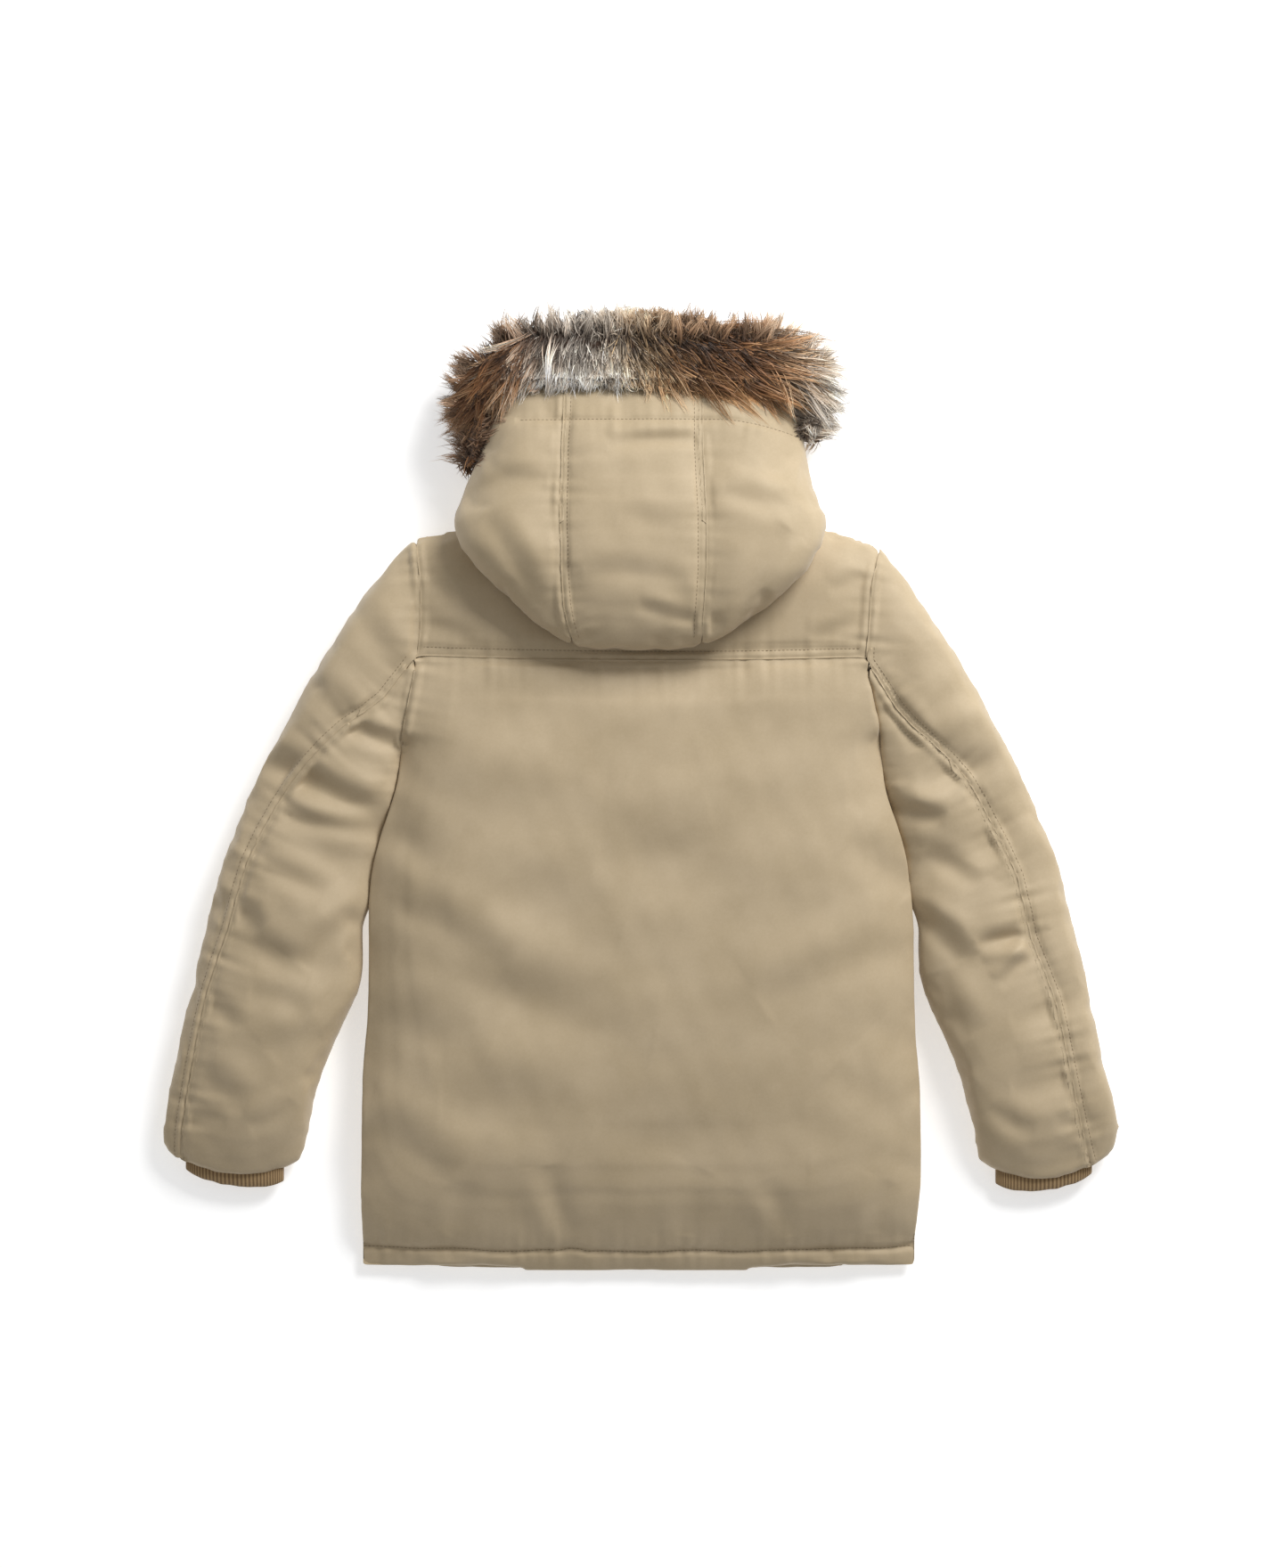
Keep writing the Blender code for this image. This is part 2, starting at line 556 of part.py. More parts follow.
def build_hood_centre():
    """Hood centre strip, over the dome, round the crown fold and back below to the neck."""
    outer = []
    inner = []
    rows = HOOD_ROWS_FLOOR + HOOD_ROWS_YOKE
    last = rows[-1]

    def columns(y):
        left = hood_value("seam_left", y) + SEAM_GAP / 2
        right = hood_value("seam_right", y) - SEAM_GAP / 2
        return [mix(left, right, index / (CENTRE_COLUMNS - 1)) for index in range(CENTRE_COLUMNS)]

    for y in rows:
        middle = hood_value("middle", y)
        inner_y = max(y, FOLD_TIP_Y + FOLD_STEP)
        outer.append([(x, y, hood_top(x, y)) for x in columns(y)])
        inner.append([(x, inner_y, middle + SLIT / 2) for x in columns(y)])
    middle = hood_value("middle", last)
    for angle in FOLD_ANGLES:
        reach = math.cos(math.radians(angle))
        rise = math.sin(math.radians(angle))
        outer_row = []
        inner_row = []
        for index, x in enumerate(columns(last)):
            across = abs(2.0 * index / (CENTRE_COLUMNS - 1) - 1.0)
            fold_y = CROWN_FOLD_Y + CROWN_FOLD_RISE * across ** 3
            half = hood_top(x, last) - middle if rise > 0 else middle - hood_under(x, last)
            outer_row.append((x, mix(last, fold_y, reach), middle + half * rise))
            inner_row.append((x, FOLD_TIP_Y + FOLD_STEP / 2 * (1.0 - reach), middle + SLIT / 2 * rise))
        outer.append(outer_row)
        inner.append(inner_row)
    for y in reversed(HOOD_ROWS_YOKE):
        middle = hood_value("middle", y)
        inner_y = max(y, FOLD_TIP_Y + FOLD_STEP)
        outer.append([(x, y, hood_under(x, y)) for x in columns(y)])
        inner.append([(x, inner_y, middle - SLIT / 2) for x in columns(y)])
    build_piece("hood_centre", outer, inner, TWILL)


# ---- Fur trim --------------------------------------------------------------------------------------

def build_fur():
    """Plain solid of the hair's reach, standing on the ground round the hood's mouth."""
    over = []
    below = []
    for station in FUR:
        edge = mix(station.low, station.high, FUR_MIDDLE)
        over_row = []
        below_row = []
        for share in eased_start(FUR_COLUMNS):
            x = mix(station.inner_x, station.outer_x, share)
            y = mix(station.inner_y, station.outer_y, share)
            round_off = math.sqrt(1.0 - share ** FUR_ROUNDNESS)
            over_row.append((x, y, mix(edge, station.high, round_off) + FUR_EDGE))
            below_row.append((x, y, mix(edge, station.low, round_off)))
        over.append(over_row)
        below.append(below_row)
    build_piece("fur_trim", over, below, FUR_HAIR)


def main():
    for item in list(bpy.data.objects):
        bpy.data.objects.remove(item, do_unlink=True)
    collection = bpy.data.collections.new(COLLECTION_NAME)
    bpy.context.scene.collection.children.link(collection)
    build_body()
    for side, table in (("left", LEFT_SLEEVE), ("right", RIGHT_SLEEVE)):
        build_sleeve(side, table)
        build_cuff(side, table[-1])
        build_hood_side(side)
    build_hood_centre()
    build_fur()


main()
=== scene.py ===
"""Looks of the fur trimmed parka, laid flat on its front with its back up.

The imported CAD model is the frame. Every padded piece starts as a copy of its CAD solid, is
remeshed, filled by a short cloth simulation under pressure, subdivided, and then gets its folds,
puckers and sewn channels. Rib cuffs, stitches and hair are modelled as themselves.
Tables are in millimetres in the row frame: +X towards the wearer's right, +Y towards the hood.
"""

import logging
import math
from dataclasses import dataclass
from enum import Enum
from typing import Callable

import bpy
import numpy as np
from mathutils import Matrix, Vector
from mathutils.bvhtree import BVHTree


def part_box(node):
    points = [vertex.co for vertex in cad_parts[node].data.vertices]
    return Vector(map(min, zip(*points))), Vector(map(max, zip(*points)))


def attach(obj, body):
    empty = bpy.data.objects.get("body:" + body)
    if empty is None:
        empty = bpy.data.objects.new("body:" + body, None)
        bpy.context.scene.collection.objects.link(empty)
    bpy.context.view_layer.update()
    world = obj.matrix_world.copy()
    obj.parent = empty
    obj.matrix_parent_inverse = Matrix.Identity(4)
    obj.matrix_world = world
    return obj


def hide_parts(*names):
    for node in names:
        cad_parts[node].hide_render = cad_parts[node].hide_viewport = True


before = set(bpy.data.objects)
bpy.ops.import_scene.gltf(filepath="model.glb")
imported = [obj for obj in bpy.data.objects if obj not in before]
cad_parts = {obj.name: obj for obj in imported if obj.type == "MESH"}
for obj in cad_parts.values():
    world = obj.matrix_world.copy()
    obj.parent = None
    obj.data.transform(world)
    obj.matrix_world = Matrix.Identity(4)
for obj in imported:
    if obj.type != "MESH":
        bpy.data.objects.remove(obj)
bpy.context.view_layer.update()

MM = 0.001
BODY = "root"
LOG = logging.getLogger("parka")
Tree = bpy.types.NodeTree
Object = bpy.types.Object


class Slot(Enum):
    """Material slots of the record."""

    SHELL = "shell_twill"
    RIB = "rib_knit"
    FUR = "fur"


# ---- Colour and node helpers -----------------------------------------------------------------------

def srgb(hex_colour: str) -> tuple[float, float, float, float]:
    """Turn an sRGB hex colour to a linear one.

    Args:
        hex_colour: six hex digits after a hash.

    Returns:
        Linear red, green, blue and an alpha of 1.
    """
    values = [int(hex_colour[start:start + 2], 16) / 255.0 for start in (1, 3, 5)]
    linear = [v / 12.92 if v <= 0.04045 else ((v + 0.055) / 1.055) ** 2.4 for v in values]
    return linear[0], linear[1], linear[2], 1.0


def add_node(tree: Tree, kind: str, settings: dict | None = None, inputs: dict | None = None,
             links: dict | None = None) -> bpy.types.Node:
    """Add a node with its settings, socket values and incoming links.

    Args:
        tree: node tree to add to.
        kind: Blender's node type name.
        settings: attributes of the node.
        inputs: values of its input sockets.
        links: output sockets to link, by input socket.

    Returns:
        The new node.
    """
    node = tree.nodes.new(kind)
    for name, value in (settings or {}).items():
        setattr(node, name, value)
    for name, value in (inputs or {}).items():
        node.inputs[name].default_value = value
    for name, output in (links or {}).items():
        tree.links.new(output, node.inputs[name])
    return node


def new_material(name: str) -> tuple[bpy.types.Material, Tree, bpy.types.Node]:
    """Make a material with a Principled shader.

    Args:
        name: name of the finish.

    Returns:
        The material, its tree and its shader.
    """
    material = bpy.data.materials.new(name)
    material.use_nodes = True
    tree = material.node_tree
    return material, tree, tree.nodes["Principled BSDF"]


# ---- Finishes --------------------------------------------------------------------------------------

@dataclass(frozen=True)
class TwillFinish:
    """Cotton-blend twill, piece dyed sand, matt with a soft bloom of fibre ends."""

    name: str = "sand_cotton_twill"
    light: str = "#C0AD8E"
    dark: str = "#B4A181"
    thread_mm: float = 0.9          # drawn coarser than the real 0.35 mm, so that it shows
    mottle_mm: float = 60.0         # slow change of dye over a panel
    crumple_mm: float = 16.0        # faint crumple of cloth over soft filling

    def material(self) -> bpy.types.Material:
        """Build the shader: diagonal ribs as bump, a slow dye mottle, a weak sheen.

        Returns:
            The material.
        """
        material, tree, shader = new_material(self.name)
        place = add_node(tree, "ShaderNodeTexCoord").outputs["Object"]
        mottle = add_node(tree, "ShaderNodeTexNoise", inputs={
            "Scale": 1.0 / (self.mottle_mm * MM), "Detail": 4.0, "Roughness": 0.6}, links={"Vector": place})
        fleck = add_node(tree, "ShaderNodeTexNoise", inputs={
            "Scale": 1.0 / (2.4 * MM), "Detail": 2.0, "Roughness": 0.7}, links={"Vector": place})
        both = add_node(tree, "ShaderNodeMath", {"operation": "MULTIPLY_ADD"}, {1: 0.35}, {
            0: fleck.outputs["Fac"], 2: mottle.outputs["Fac"]})
        tone = add_node(tree, "ShaderNodeMapRange", inputs={
            "From Min": 0.45, "From Max": 0.90}, links={"Value": both.outputs[0]})
        colour = add_node(tree, "ShaderNodeMix", {"data_type": "RGBA"}, {
            6: srgb(self.dark), 7: srgb(self.light)}, {0: tone.outputs[0]})
        turned = add_node(tree, "ShaderNodeMapping", inputs={
            "Rotation": (0.0, 0.0, math.radians(63.0))}, links={"Vector": place})
        ribs = add_node(tree, "ShaderNodeTexWave", {"wave_type": "BANDS", "bands_direction": "X"}, {
            "Scale": 2.0 * math.pi / (20.0 * self.thread_mm * MM), "Distortion": 0.6, "Detail": 1.0}, {
                "Vector": turned.outputs[0]})
        crumple = add_node(tree, "ShaderNodeTexNoise", inputs={
            "Scale": 1.0 / (self.crumple_mm * MM), "Detail": 3.0, "Roughness": 0.55}, links={"Vector": place})
        soft = add_node(tree, "ShaderNodeBump", inputs={
            "Strength": 0.12, "Distance": 0.0010}, links={"Height": crumple.outputs["Fac"]})
        weave = add_node(tree, "ShaderNodeBump", inputs={
            "Strength": 0.12, "Distance": 0.0003}, links={
                "Height": ribs.outputs["Fac"], "Normal": soft.outputs[0]})
        tree.links.new(colour.outputs[2], shader.inputs["Base Color"])
        tree.links.new(weave.outputs[0], shader.inputs["Normal"])
        shader.inputs["Roughness"].default_value = 0.66
        shader.inputs["Specular IOR Level"].default_value = 0.5
        shader.inputs["Sheen Weight"].default_value = 0.25
        shader.inputs["Sheen Roughness"].default_value = 0.45
        return material


@dataclass(frozen=True)
class RibFinish:
    """Rib knit in wool-acrylic yarn, tan, warmer than the shell; its valleys carry painted shade."""

    name: str = "tan_rib_knit"
    ridge: str = "#B0936A"
    # painted shade: the yarn's colour darkened in the valleys between ribs and inside the tube
    valley_shade: str = "#6F5638"
    loop_mm: float = 1.6

    def material(self) -> bpy.types.Material:
        """Build the shader: ribs coloured by the piece's own attribute, with painted shade in the valleys between ribs
        and on the tube's inside, loops as bump.

        Returns:
            The material.
        """
        material, tree, shader = new_material(self.name)
        place = add_node(tree, "ShaderNodeTexCoord").outputs["Object"]
        rib = add_node(tree, "ShaderNodeAttribute", {"attribute_name": "rib"})
        colour = add_node(tree, "ShaderNodeMix", {"data_type": "RGBA"}, {
            6: srgb(self.valley_shade), 7: srgb(self.ridge)}, {0: rib.outputs["Fac"]})
        loops = add_node(tree, "ShaderNodeTexNoise", inputs={
            "Scale": 1.0 / (self.loop_mm * MM), "Detail": 2.0}, links={"Vector": place})
        bump = add_node(tree, "ShaderNodeBump", inputs={
            "Strength": 0.5, "Distance": 0.0006}, links={"Height": loops.outputs["Fac"]})
        tree.links.new(colour.outputs[2], shader.inputs["Base Color"])
        tree.links.new(bump.outputs[0], shader.inputs["Normal"])
        shader.inputs["Roughness"].default_value = 0.95
        shader.inputs["Sheen Weight"].default_value = 0.3
        return material


@dataclass(frozen=True)
class HairFinish:
    """Long guard hair over dark underfur, its colour carried strand by strand."""

    name: str = "brown_and_cream_fur"
    attribute: str = "hair_colour"

    def material(self) -> bpy.types.Material:
        """Build the shader: strand colours from the attribute, with the weak gloss of hair.

        Returns:
            The material.
        """
        material, tree, shader = new_material(self.name)
        colour = add_node(tree, "ShaderNodeAttribute", {"attribute_name": self.attribute})
        tree.links.new(colour.outputs["Color"], shader.inputs["Base Color"])
        shader.inputs["Roughness"].default_value = 0.55
        shader.inputs["Specular IOR Level"].default_value = 0.3
        shader.inputs["Sheen Weight"].default_value = 0.1
        return material


@dataclass(frozen=True)
class PeltFinish:
    """Dense dark underfur at the skin, painted near black as the shade deep in the gaps between locks."""

    name: str = "dark_underfur_and_gap_shade"
    # the underfur's own dark brown, taken near black as painted shade of the gaps between locks
    light: str = "#4A3526"
    dark: str = "#1D140D"

    def material(self) -> bpy.types.Material:
        """Build the shader: fine dark flecks of underfur, darkened further as painted shade, and a rough bump.

        Returns:
            The material.
        """
        material, tree, shader = new_material(self.name)
        place = add_node(tree, "ShaderNodeTexCoord").outputs["Object"]
        fleck = add_node(tree, "ShaderNodeTexNoise", inputs={
            "Scale": 1.0 / (3.0 * MM), "Detail": 5.0}, links={"Vector": place})
        colour = add_node(tree, "ShaderNodeMix", {"data_type": "RGBA"}, {
            6: srgb(self.dark), 7: srgb(self.light)}, {0: fleck.outputs["Fac"]})
        bump = add_node(tree, "ShaderNodeBump", inputs={
            "Strength": 1.0, "Distance": 0.003}, links={"Height": fleck.outputs["Fac"]})
        tree.links.new(colour.outputs[2], shader.inputs["Base Color"])
        tree.links.new(bump.outputs[0], shader.inputs["Normal"])
        shader.inputs["Roughness"].default_value = 1.0
        return material


@dataclass(frozen=True)
class ThreadFinish:
    """Spun polyester sewing thread, a shade darker than the cloth and slightly glossy."""

    name: str = "sand_sewing_thread"
    colour: str = "#94826A"

    def material(self) -> bpy.types.Material:
        """Build the shader: one dyed colour with the fleck of spun fibre.

        Returns:
            The material.
        """
        material, tree, shader = new_material(self.name)
        place = add_node(tree, "ShaderNodeTexCoord").outputs["Object"]
        fleck = add_node(tree, "ShaderNodeTexNoise", inputs={"Scale": 1.0 / (1.2 * MM)}, links={"Vector": place})
        colour = add_node(tree, "ShaderNodeMix", {"data_type": "RGBA"}, {
            6: srgb("#86745C"), 7: srgb(self.colour)}, {0: fleck.outputs["Fac"]})
        tree.links.new(colour.outputs[2], shader.inputs["Base Color"])
        shader.inputs["Roughness"].default_value = 0.6
        return material


@dataclass(frozen=True)
class PaperFinish:
    """White seamless paper, matt."""

    name: str = "white_paper"
    colour: str = "#F4F4F4"

    def material(self) -> bpy.types.Material:
        """Build the shader: plain paper, lit a little from within as on a light table.

        Returns:
            The material.
        """
        material, _, shader = new_material(self.name)
        shader.inputs["Base Color"].default_value = srgb(self.colour)
        shader.inputs["Roughness"].default_value = 0.9
        shader.inputs["Emission Color"].default_value = srgb("#FFFFFF")
        shader.inputs["Emission Strength"].default_value = 0.46
        return material


# ---- Mesh helpers ----------------------------------------------------------------------------------

def select_only(obj: Object) -> None:
    """Select one object and make it active."""
    bpy.ops.object.select_all(action="DESELECT")
    obj.select_set(True)
    bpy.context.view_layer.objects.active = obj


def apply_modifier(obj: Object, kind: str, **settings: object) -> None:
    """Add a modifier, set it and apply it.

    Args:
        obj: object to change.
        kind: Blender's modifier type.
        settings: attributes of the modifier.
    """
    select_only(obj)
    modifier = obj.modifiers.new(kind.lower(), kind)
    for name, value in settings.items():
        setattr(modifier, name, value)
    bpy.ops.object.modifier_apply(modifier=modifier.name)


def points_of(obj: Object) -> np.ndarray:
    """Vertex places as an array of rows."""
    values = np.empty(len(obj.data.vertices) * 3)
    obj.data.vertices.foreach_get("co", values)
    return values.reshape(-1, 3)


def set_points(obj: Object, points: np.ndarray) -> None:
    """Write vertex places back."""
    obj.data.vertices.foreach_set("co", points.reshape(-1))
    obj.data.update()


def normals_of(obj: Object) -> np.ndarray:
    """Vertex normals as an array of rows."""
    values = np.empty(len(obj.data.vertices) * 3)
    obj.data.vertex_normals.foreach_get("vector", values)
    return values.reshape(-1, 3)


def make_mesh(name: str, points: np.ndarray, faces: list[tuple[int, ...]]) -> Object:
    """Make a smooth mesh object from points and faces.

    Args:
        name: name of the piece.
        points: vertex places.
        faces: vertex numbers of each face.

    Returns:
        The new object.
    """
    mesh = bpy.data.meshes.new(name)
    mesh.from_pydata(points.tolist(), [], faces)
    mesh.shade_smooth()
    obj = bpy.data.objects.new(name, mesh)
    bpy.context.scene.collection.objects.link(obj)
    return obj


def even_out(obj: Object, rounds: int) -> None:
    """Smooth the steps of a voxel mesh without shrinking it (Taubin's two-way smoothing).

    Args:
        obj: object to change.
        rounds: pairs of smoothing steps.
    """
    edges = np.empty(len(obj.data.edges) * 2, dtype=np.int64)
    obj.data.edges.foreach_get("vertices", edges)
    first, second = edges.reshape(-1, 2).T
    points = points_of(obj)
    degree = np.bincount(edges, minlength=len(points))[:, None]
    for step in (0.55, -0.58) * rounds:
        total = np.stack([np.bincount(first, points[second, k], len(points))
                          + np.bincount(second, points[first, k], len(points)) for k in range(3)], axis=1)
        points += step * (total / degree - points)
    set_points(obj, points)


def float_out(obj: Object, rounds: int) -> None:
    """Smooth the heights of an upper side, so that no facet of the CAD form shows.

    Args:
        obj: object to change.
        rounds: smoothing steps.
    """
    edges = np.empty(len(obj.data.edges) * 2, dtype=np.int64)
    obj.data.edges.foreach_get("vertices", edges)
    first, second = edges.reshape(-1, 2).T
    points = points_of(obj)
    degree = np.bincount(edges, minlength=len(points))
    weight = np.clip((normals_of(obj)[:, 2] - 0.72) / 0.2, 0.0, 1.0) * 0.6
    height = points[:, 2].copy()
    for _ in range(rounds):
        total = np.bincount(first, height[second], len(height)) + np.bincount(second, height[first], len(height))
        height += weight * (total / degree - height)
    points[:, 2] = height
    set_points(obj, points)


def hand_over(obj: Object, material: bpy.types.Material, nodes: tuple[str, ...] = ()) -> None:
    """Dress a finished piece, put it on the body and hide the CAD nodes it stands for.

    Args:
        obj: finished piece.
        material: its material.
        nodes: CAD nodes that it replaces.
    """
    obj.data.materials.clear()
    obj.data.materials.append(material)
    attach(obj, BODY)
    if nodes:
        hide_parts(*nodes)
    LOG.info("%s: %d vertices", obj.name, len(obj.data.vertices))


# ---- Lines on the cloth ----------------------------------------------------------------------------

class Line:
    """A line in plan over the garment, with each point's distance to it and place along it."""

    def __init__(self, points: np.ndarray) -> None:
        """Keep the line's points.

        Args:
            points: rows of x, y in metres, in order.
        """
        self.points = points
        steps = np.linalg.norm(np.diff(points, axis=0), axis=1)
        self.along = np.concatenate([[0.0], np.cumsum(steps)])

    @property
    def length(self) -> float:
        """Whole length in metres."""
        return float(self.along[-1])

    def at(self, along: np.ndarray, offset: float = 0.0) -> tuple[np.ndarray, np.ndarray]:
        """Places along the line, moved to its left by an offset.

        Args:
            along: distances from the start.
            offset: distance to the left.

        Returns:
            Places and unit directions in plan.
        """
        places = np.stack([np.interp(along, self.along, self.points[:, k]) for k in (0, 1)], axis=1)
        ahead = np.stack([np.interp(along + 2 * MM, self.along, self.points[:, k]) for k in (0, 1)], axis=1)
        behind = np.stack([np.interp(along - 2 * MM, self.along, self.points[:, k]) for k in (0, 1)], axis=1)
        direction = ahead - behind
        direction /= np.linalg.norm(direction, axis=1, keepdims=True) + 1e-12
        left = np.stack([-direction[:, 1], direction[:, 0]], axis=1)
        return places + left * offset, direction

    def measure(self, plan: np.ndarray) -> tuple[np.ndarray, np.ndarray, np.ndarray, np.ndarray]:
        """Distance to the line, place along it, nearest point and side, for each point in plan.

        Args:
            plan: rows of x, y.

        Returns:
            Distances, distances along the line, nearest points, and 1 on its left or -1 on its right.
        """
        best = np.full(len(plan), np.inf)
        side = np.ones(len(plan))
        along = np.zeros(len(plan))
        nearest = np.zeros((len(plan), 2))
        for index in range(len(self.points) - 1):
            start = self.points[index]
            step = self.points[index + 1] - start
            size = float(step @ step)
            share = np.clip(((plan - start) @ step) / size, 0.0, 1.0)
            place = start + share[:, None] * step
            distance = np.linalg.norm(plan - place, axis=1)
            closer = distance < best
            best[closer] = distance[closer]
            along[closer] = (self.along[index] + share * math.sqrt(size))[closer]
            nearest[closer] = place[closer]
            turn = np.sign(step[0] * (plan[:, 1] - start[1]) - step[1] * (plan[:, 0] - start[0]))
            side[closer] = turn[closer]
        return best, along, nearest, side


class CadTop:
    """Heights of the CAD pieces' upper side, so that two pieces meet flush along a seam."""

    AROUND = ((0.0, 0.0), (1.2, 0.0), (-1.2, 0.0), (0.0, 1.2), (0.0, -1.2))

    def __init__(self, names: tuple[str, ...]) -> None:
        """Keep the search trees of some CAD nodes.

        Args:
            names: node names.
        """
        depsgraph = bpy.context.evaluated_depsgraph_get()
        self.trees = [BVHTree.FromObject(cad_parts[name], depsgraph) for name in names]

    def heights(self, plan: np.ndarray) -> np.ndarray:
        """Highest CAD point over or just beside each place, or NaN where there is none.

        Args:
            plan: rows of x, y.

        Returns:
            Heights in metres.
        """
        found = np.full(len(plan), np.nan)
        down = Vector((0.0, 0.0, -1.0))
        for index, (x, y) in enumerate(plan):
            for dx, dy in self.AROUND:
                start = Vector((float(x) + dx * MM, float(y) + dy * MM, 0.3))
                hits = [tree.ray_cast(start, down)[0] for tree in self.trees]
                heights = [hit.z for hit in hits if hit is not None]
                if heights:
                    found[index] = max(heights)
                    break
        return found


def seen_from_above(tree_list: list[BVHTree], point: Vector) -> bool:
    """Tell whether nothing lies over a point."""
    start = point + Vector((0.0, 0.0, 1.0 * MM))
    return all(tree.ray_cast(start, Vector((0.0, 0.0, 1.0)))[0] is None for tree in tree_list)


def seam_between(first: str, second: str, along_axis: int, reach_mm: float = 1.3) -> Line:
    """Find the seam between two CAD pieces as it shows from above.

    Args:
        first: node on whose edge the seam's points are taken.
        second: node on the other side.
        along_axis: 0 to order the points along X, 1 along Y.
        reach_mm: how near the other node an edge point lies.

    Returns:
        The seam in plan.
    """
    depsgraph = bpy.context.evaluated_depsgraph_get()
    trees = [BVHTree.FromObject(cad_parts[name], depsgraph) for name in (first, second)]
    found = {}
    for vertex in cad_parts[first].data.vertices:
        near = trees[1].find_nearest(vertex.co, reach_mm * MM)
        if near[0] is not None and seen_from_above(trees, vertex.co):
            found[(round(vertex.co.x, 3), round(vertex.co.y, 3))] = vertex.co.copy()
    ordered = sorted(found.values(), key=lambda place: place[along_axis])
    plan = np.array([[place.x, place.y] for place in ordered]).reshape(-1, 2)
    while len(plan) > 2 and abs(plan[0, 1 - along_axis] - plan[1, 1 - along_axis]) > 30 * MM:
        plan = plan[1:]
    return Line(plan)


def relief(plan: np.ndarray, waves_mm: tuple[float, float], lean: float, seed: int) -> np.ndarray:
    """Uneven soft relief from about -1 to 1, from many straight waves of mixed direction.

    Args:
        plan: rows of x, y.
        waves_mm: shortest and longest wavelength.
        lean: how far, in radians, the waves' direction strays from along the garment.
        seed: chooses the pattern.

    Returns:
        One value for each row.
    """
    rand = np.random.default_rng(seed)
    total = np.zeros(len(plan))
    count = 14
    for _ in range(count):
        turn = math.pi / 2 + lean * (2 * rand.random() - 1)
        wave = (waves_mm[0] + (waves_mm[1] - waves_mm[0]) * rand.random()) * MM
        phase = 2 * math.pi * rand.random()
        total += np.sin(2 * math.pi * (plan @ np.array([math.cos(turn), math.sin(turn)])) / wave + phase)
    return total / math.sqrt(count / 2)


def wander(along: np.ndarray, seed: float, waves_mm: tuple[float, ...]) -> np.ndarray:
    """Uneven smooth value from about -1 to 1 along a line.

    Args:
        along: distances in metres.
        seed: shifts the pattern.
        waves_mm: wavelengths that are mixed.

    Returns:
        One value for each distance.
    """
    total = np.zeros_like(along)
    for index, wave in enumerate(waves_mm):
        total += np.sin(2 * math.pi * along / (wave * MM) + seed * (index + 1.7)) / len(waves_mm) ** 0.5
    return total


@dataclass(frozen=True)
class Crease:
    """A fold in the cloth: a trough with a soft ridge beside it, or a ridge if the depth is negative.

    start and end are places in plan, depth and width its size, and bow how far it curves to its left.
    """

    start: tuple[float, float]
    end: tuple[float, float]
    depth: float
    width: float
    bow: float = 0.0

    def line(self) -> Line:
        """The crease's curve in plan.

        Returns:
            Its line.
        """
        shares = np.linspace(0.0, 1.0, 9)[:, None]
        start = np.array(self.start) * MM
        end = np.array(self.end) * MM
        step = end - start
        left = np.array([-step[1], step[0]]) / np.linalg.norm(step)
        return Line(start + shares * step + 4 * shares * (1 - shares) * left * self.bow * MM)

    def height(self, plan: np.ndarray) -> np.ndarray:
        """Rise of the cloth at each point in plan.

        Args:
            plan: rows of x, y.

        Returns:
            Heights, below 0 in the trough.
        """
        line = self.line()
        distance, along, _, side = line.measure(plan)
        share = np.clip(along / line.length, 0.0, 1.0)
        taper = np.sqrt(np.clip(np.sin(math.pi * share), 0.0, 1.0))
        over_end = (share <= 0.0) | (share >= 1.0)
        taper = np.where(over_end, 0.0, taper)
        width = self.width * MM
        trough = np.exp(-(distance / width) ** 2)
        ridge = np.exp(-((distance - 1.9 * width) / width) ** 2) * (0.42 + 0.22 * side)
        return -self.depth * MM * taper * (trough - ridge)


BACK_CREASES = [
    Crease((-250, -96), (-120, -160), 2.4, 17, 7), Crease((-214, -138), (10, -226), 2.6, 24, -10),
    Crease((110, -196), (236, -146), 2.4, 18, 7), Crease((-250, -206), (-140, -240), 2.0, 20, 7),
    Crease((-170, 70), (-10, 16), 1.6, 30, 9), Crease((40, 76), (190, 30), 1.6, 28, -10),
    Crease((180, -50), (240, -96), 2.0, 15, 4), Crease((-238, -14), (-180, -70), 2.0, 16, -5),
    Crease((-250, -304), (-170, -350), 2.2, 17, 6), Crease((-40, -296), (150, -336), 1.8, 26, -9),
    Crease((-60, -402), (-82, -336), 1.8, 10, 4), Crease((-172, -402), (-156, -352), 1.2, 12, -3),
    Crease((40, -402), (58, -342), 1.2, 12, 3), Crease((132, -402), (112, -350), 1.4, 11, -3),
    Crease((210, -400), (222, -352), 1.2, 10, 3), Crease((170, -250), (240, -290), 2.0, 18, -6),
    Crease((-40, -60), (90, -110), 1.6, 30, 9), Crease((-120, -80), (-20, -136), 1.4, 26, -7),
    Crease((-180, -282), (-60, -316), 1.6, 24, 7), Crease((60, -20), (180, -10), 1.2, 26, 6),
]
YOKE_CREASES = [
    Crease((-194, 146), (-150, 132), 1.8, 7, 2), Crease((150, 134), (196, 150), 1.8, 7, -2),
    Crease((-196, 190), (-168, 168), 1.6, 7, 2), Crease((168, 176), (198, 192), 1.6, 7, -2),
]
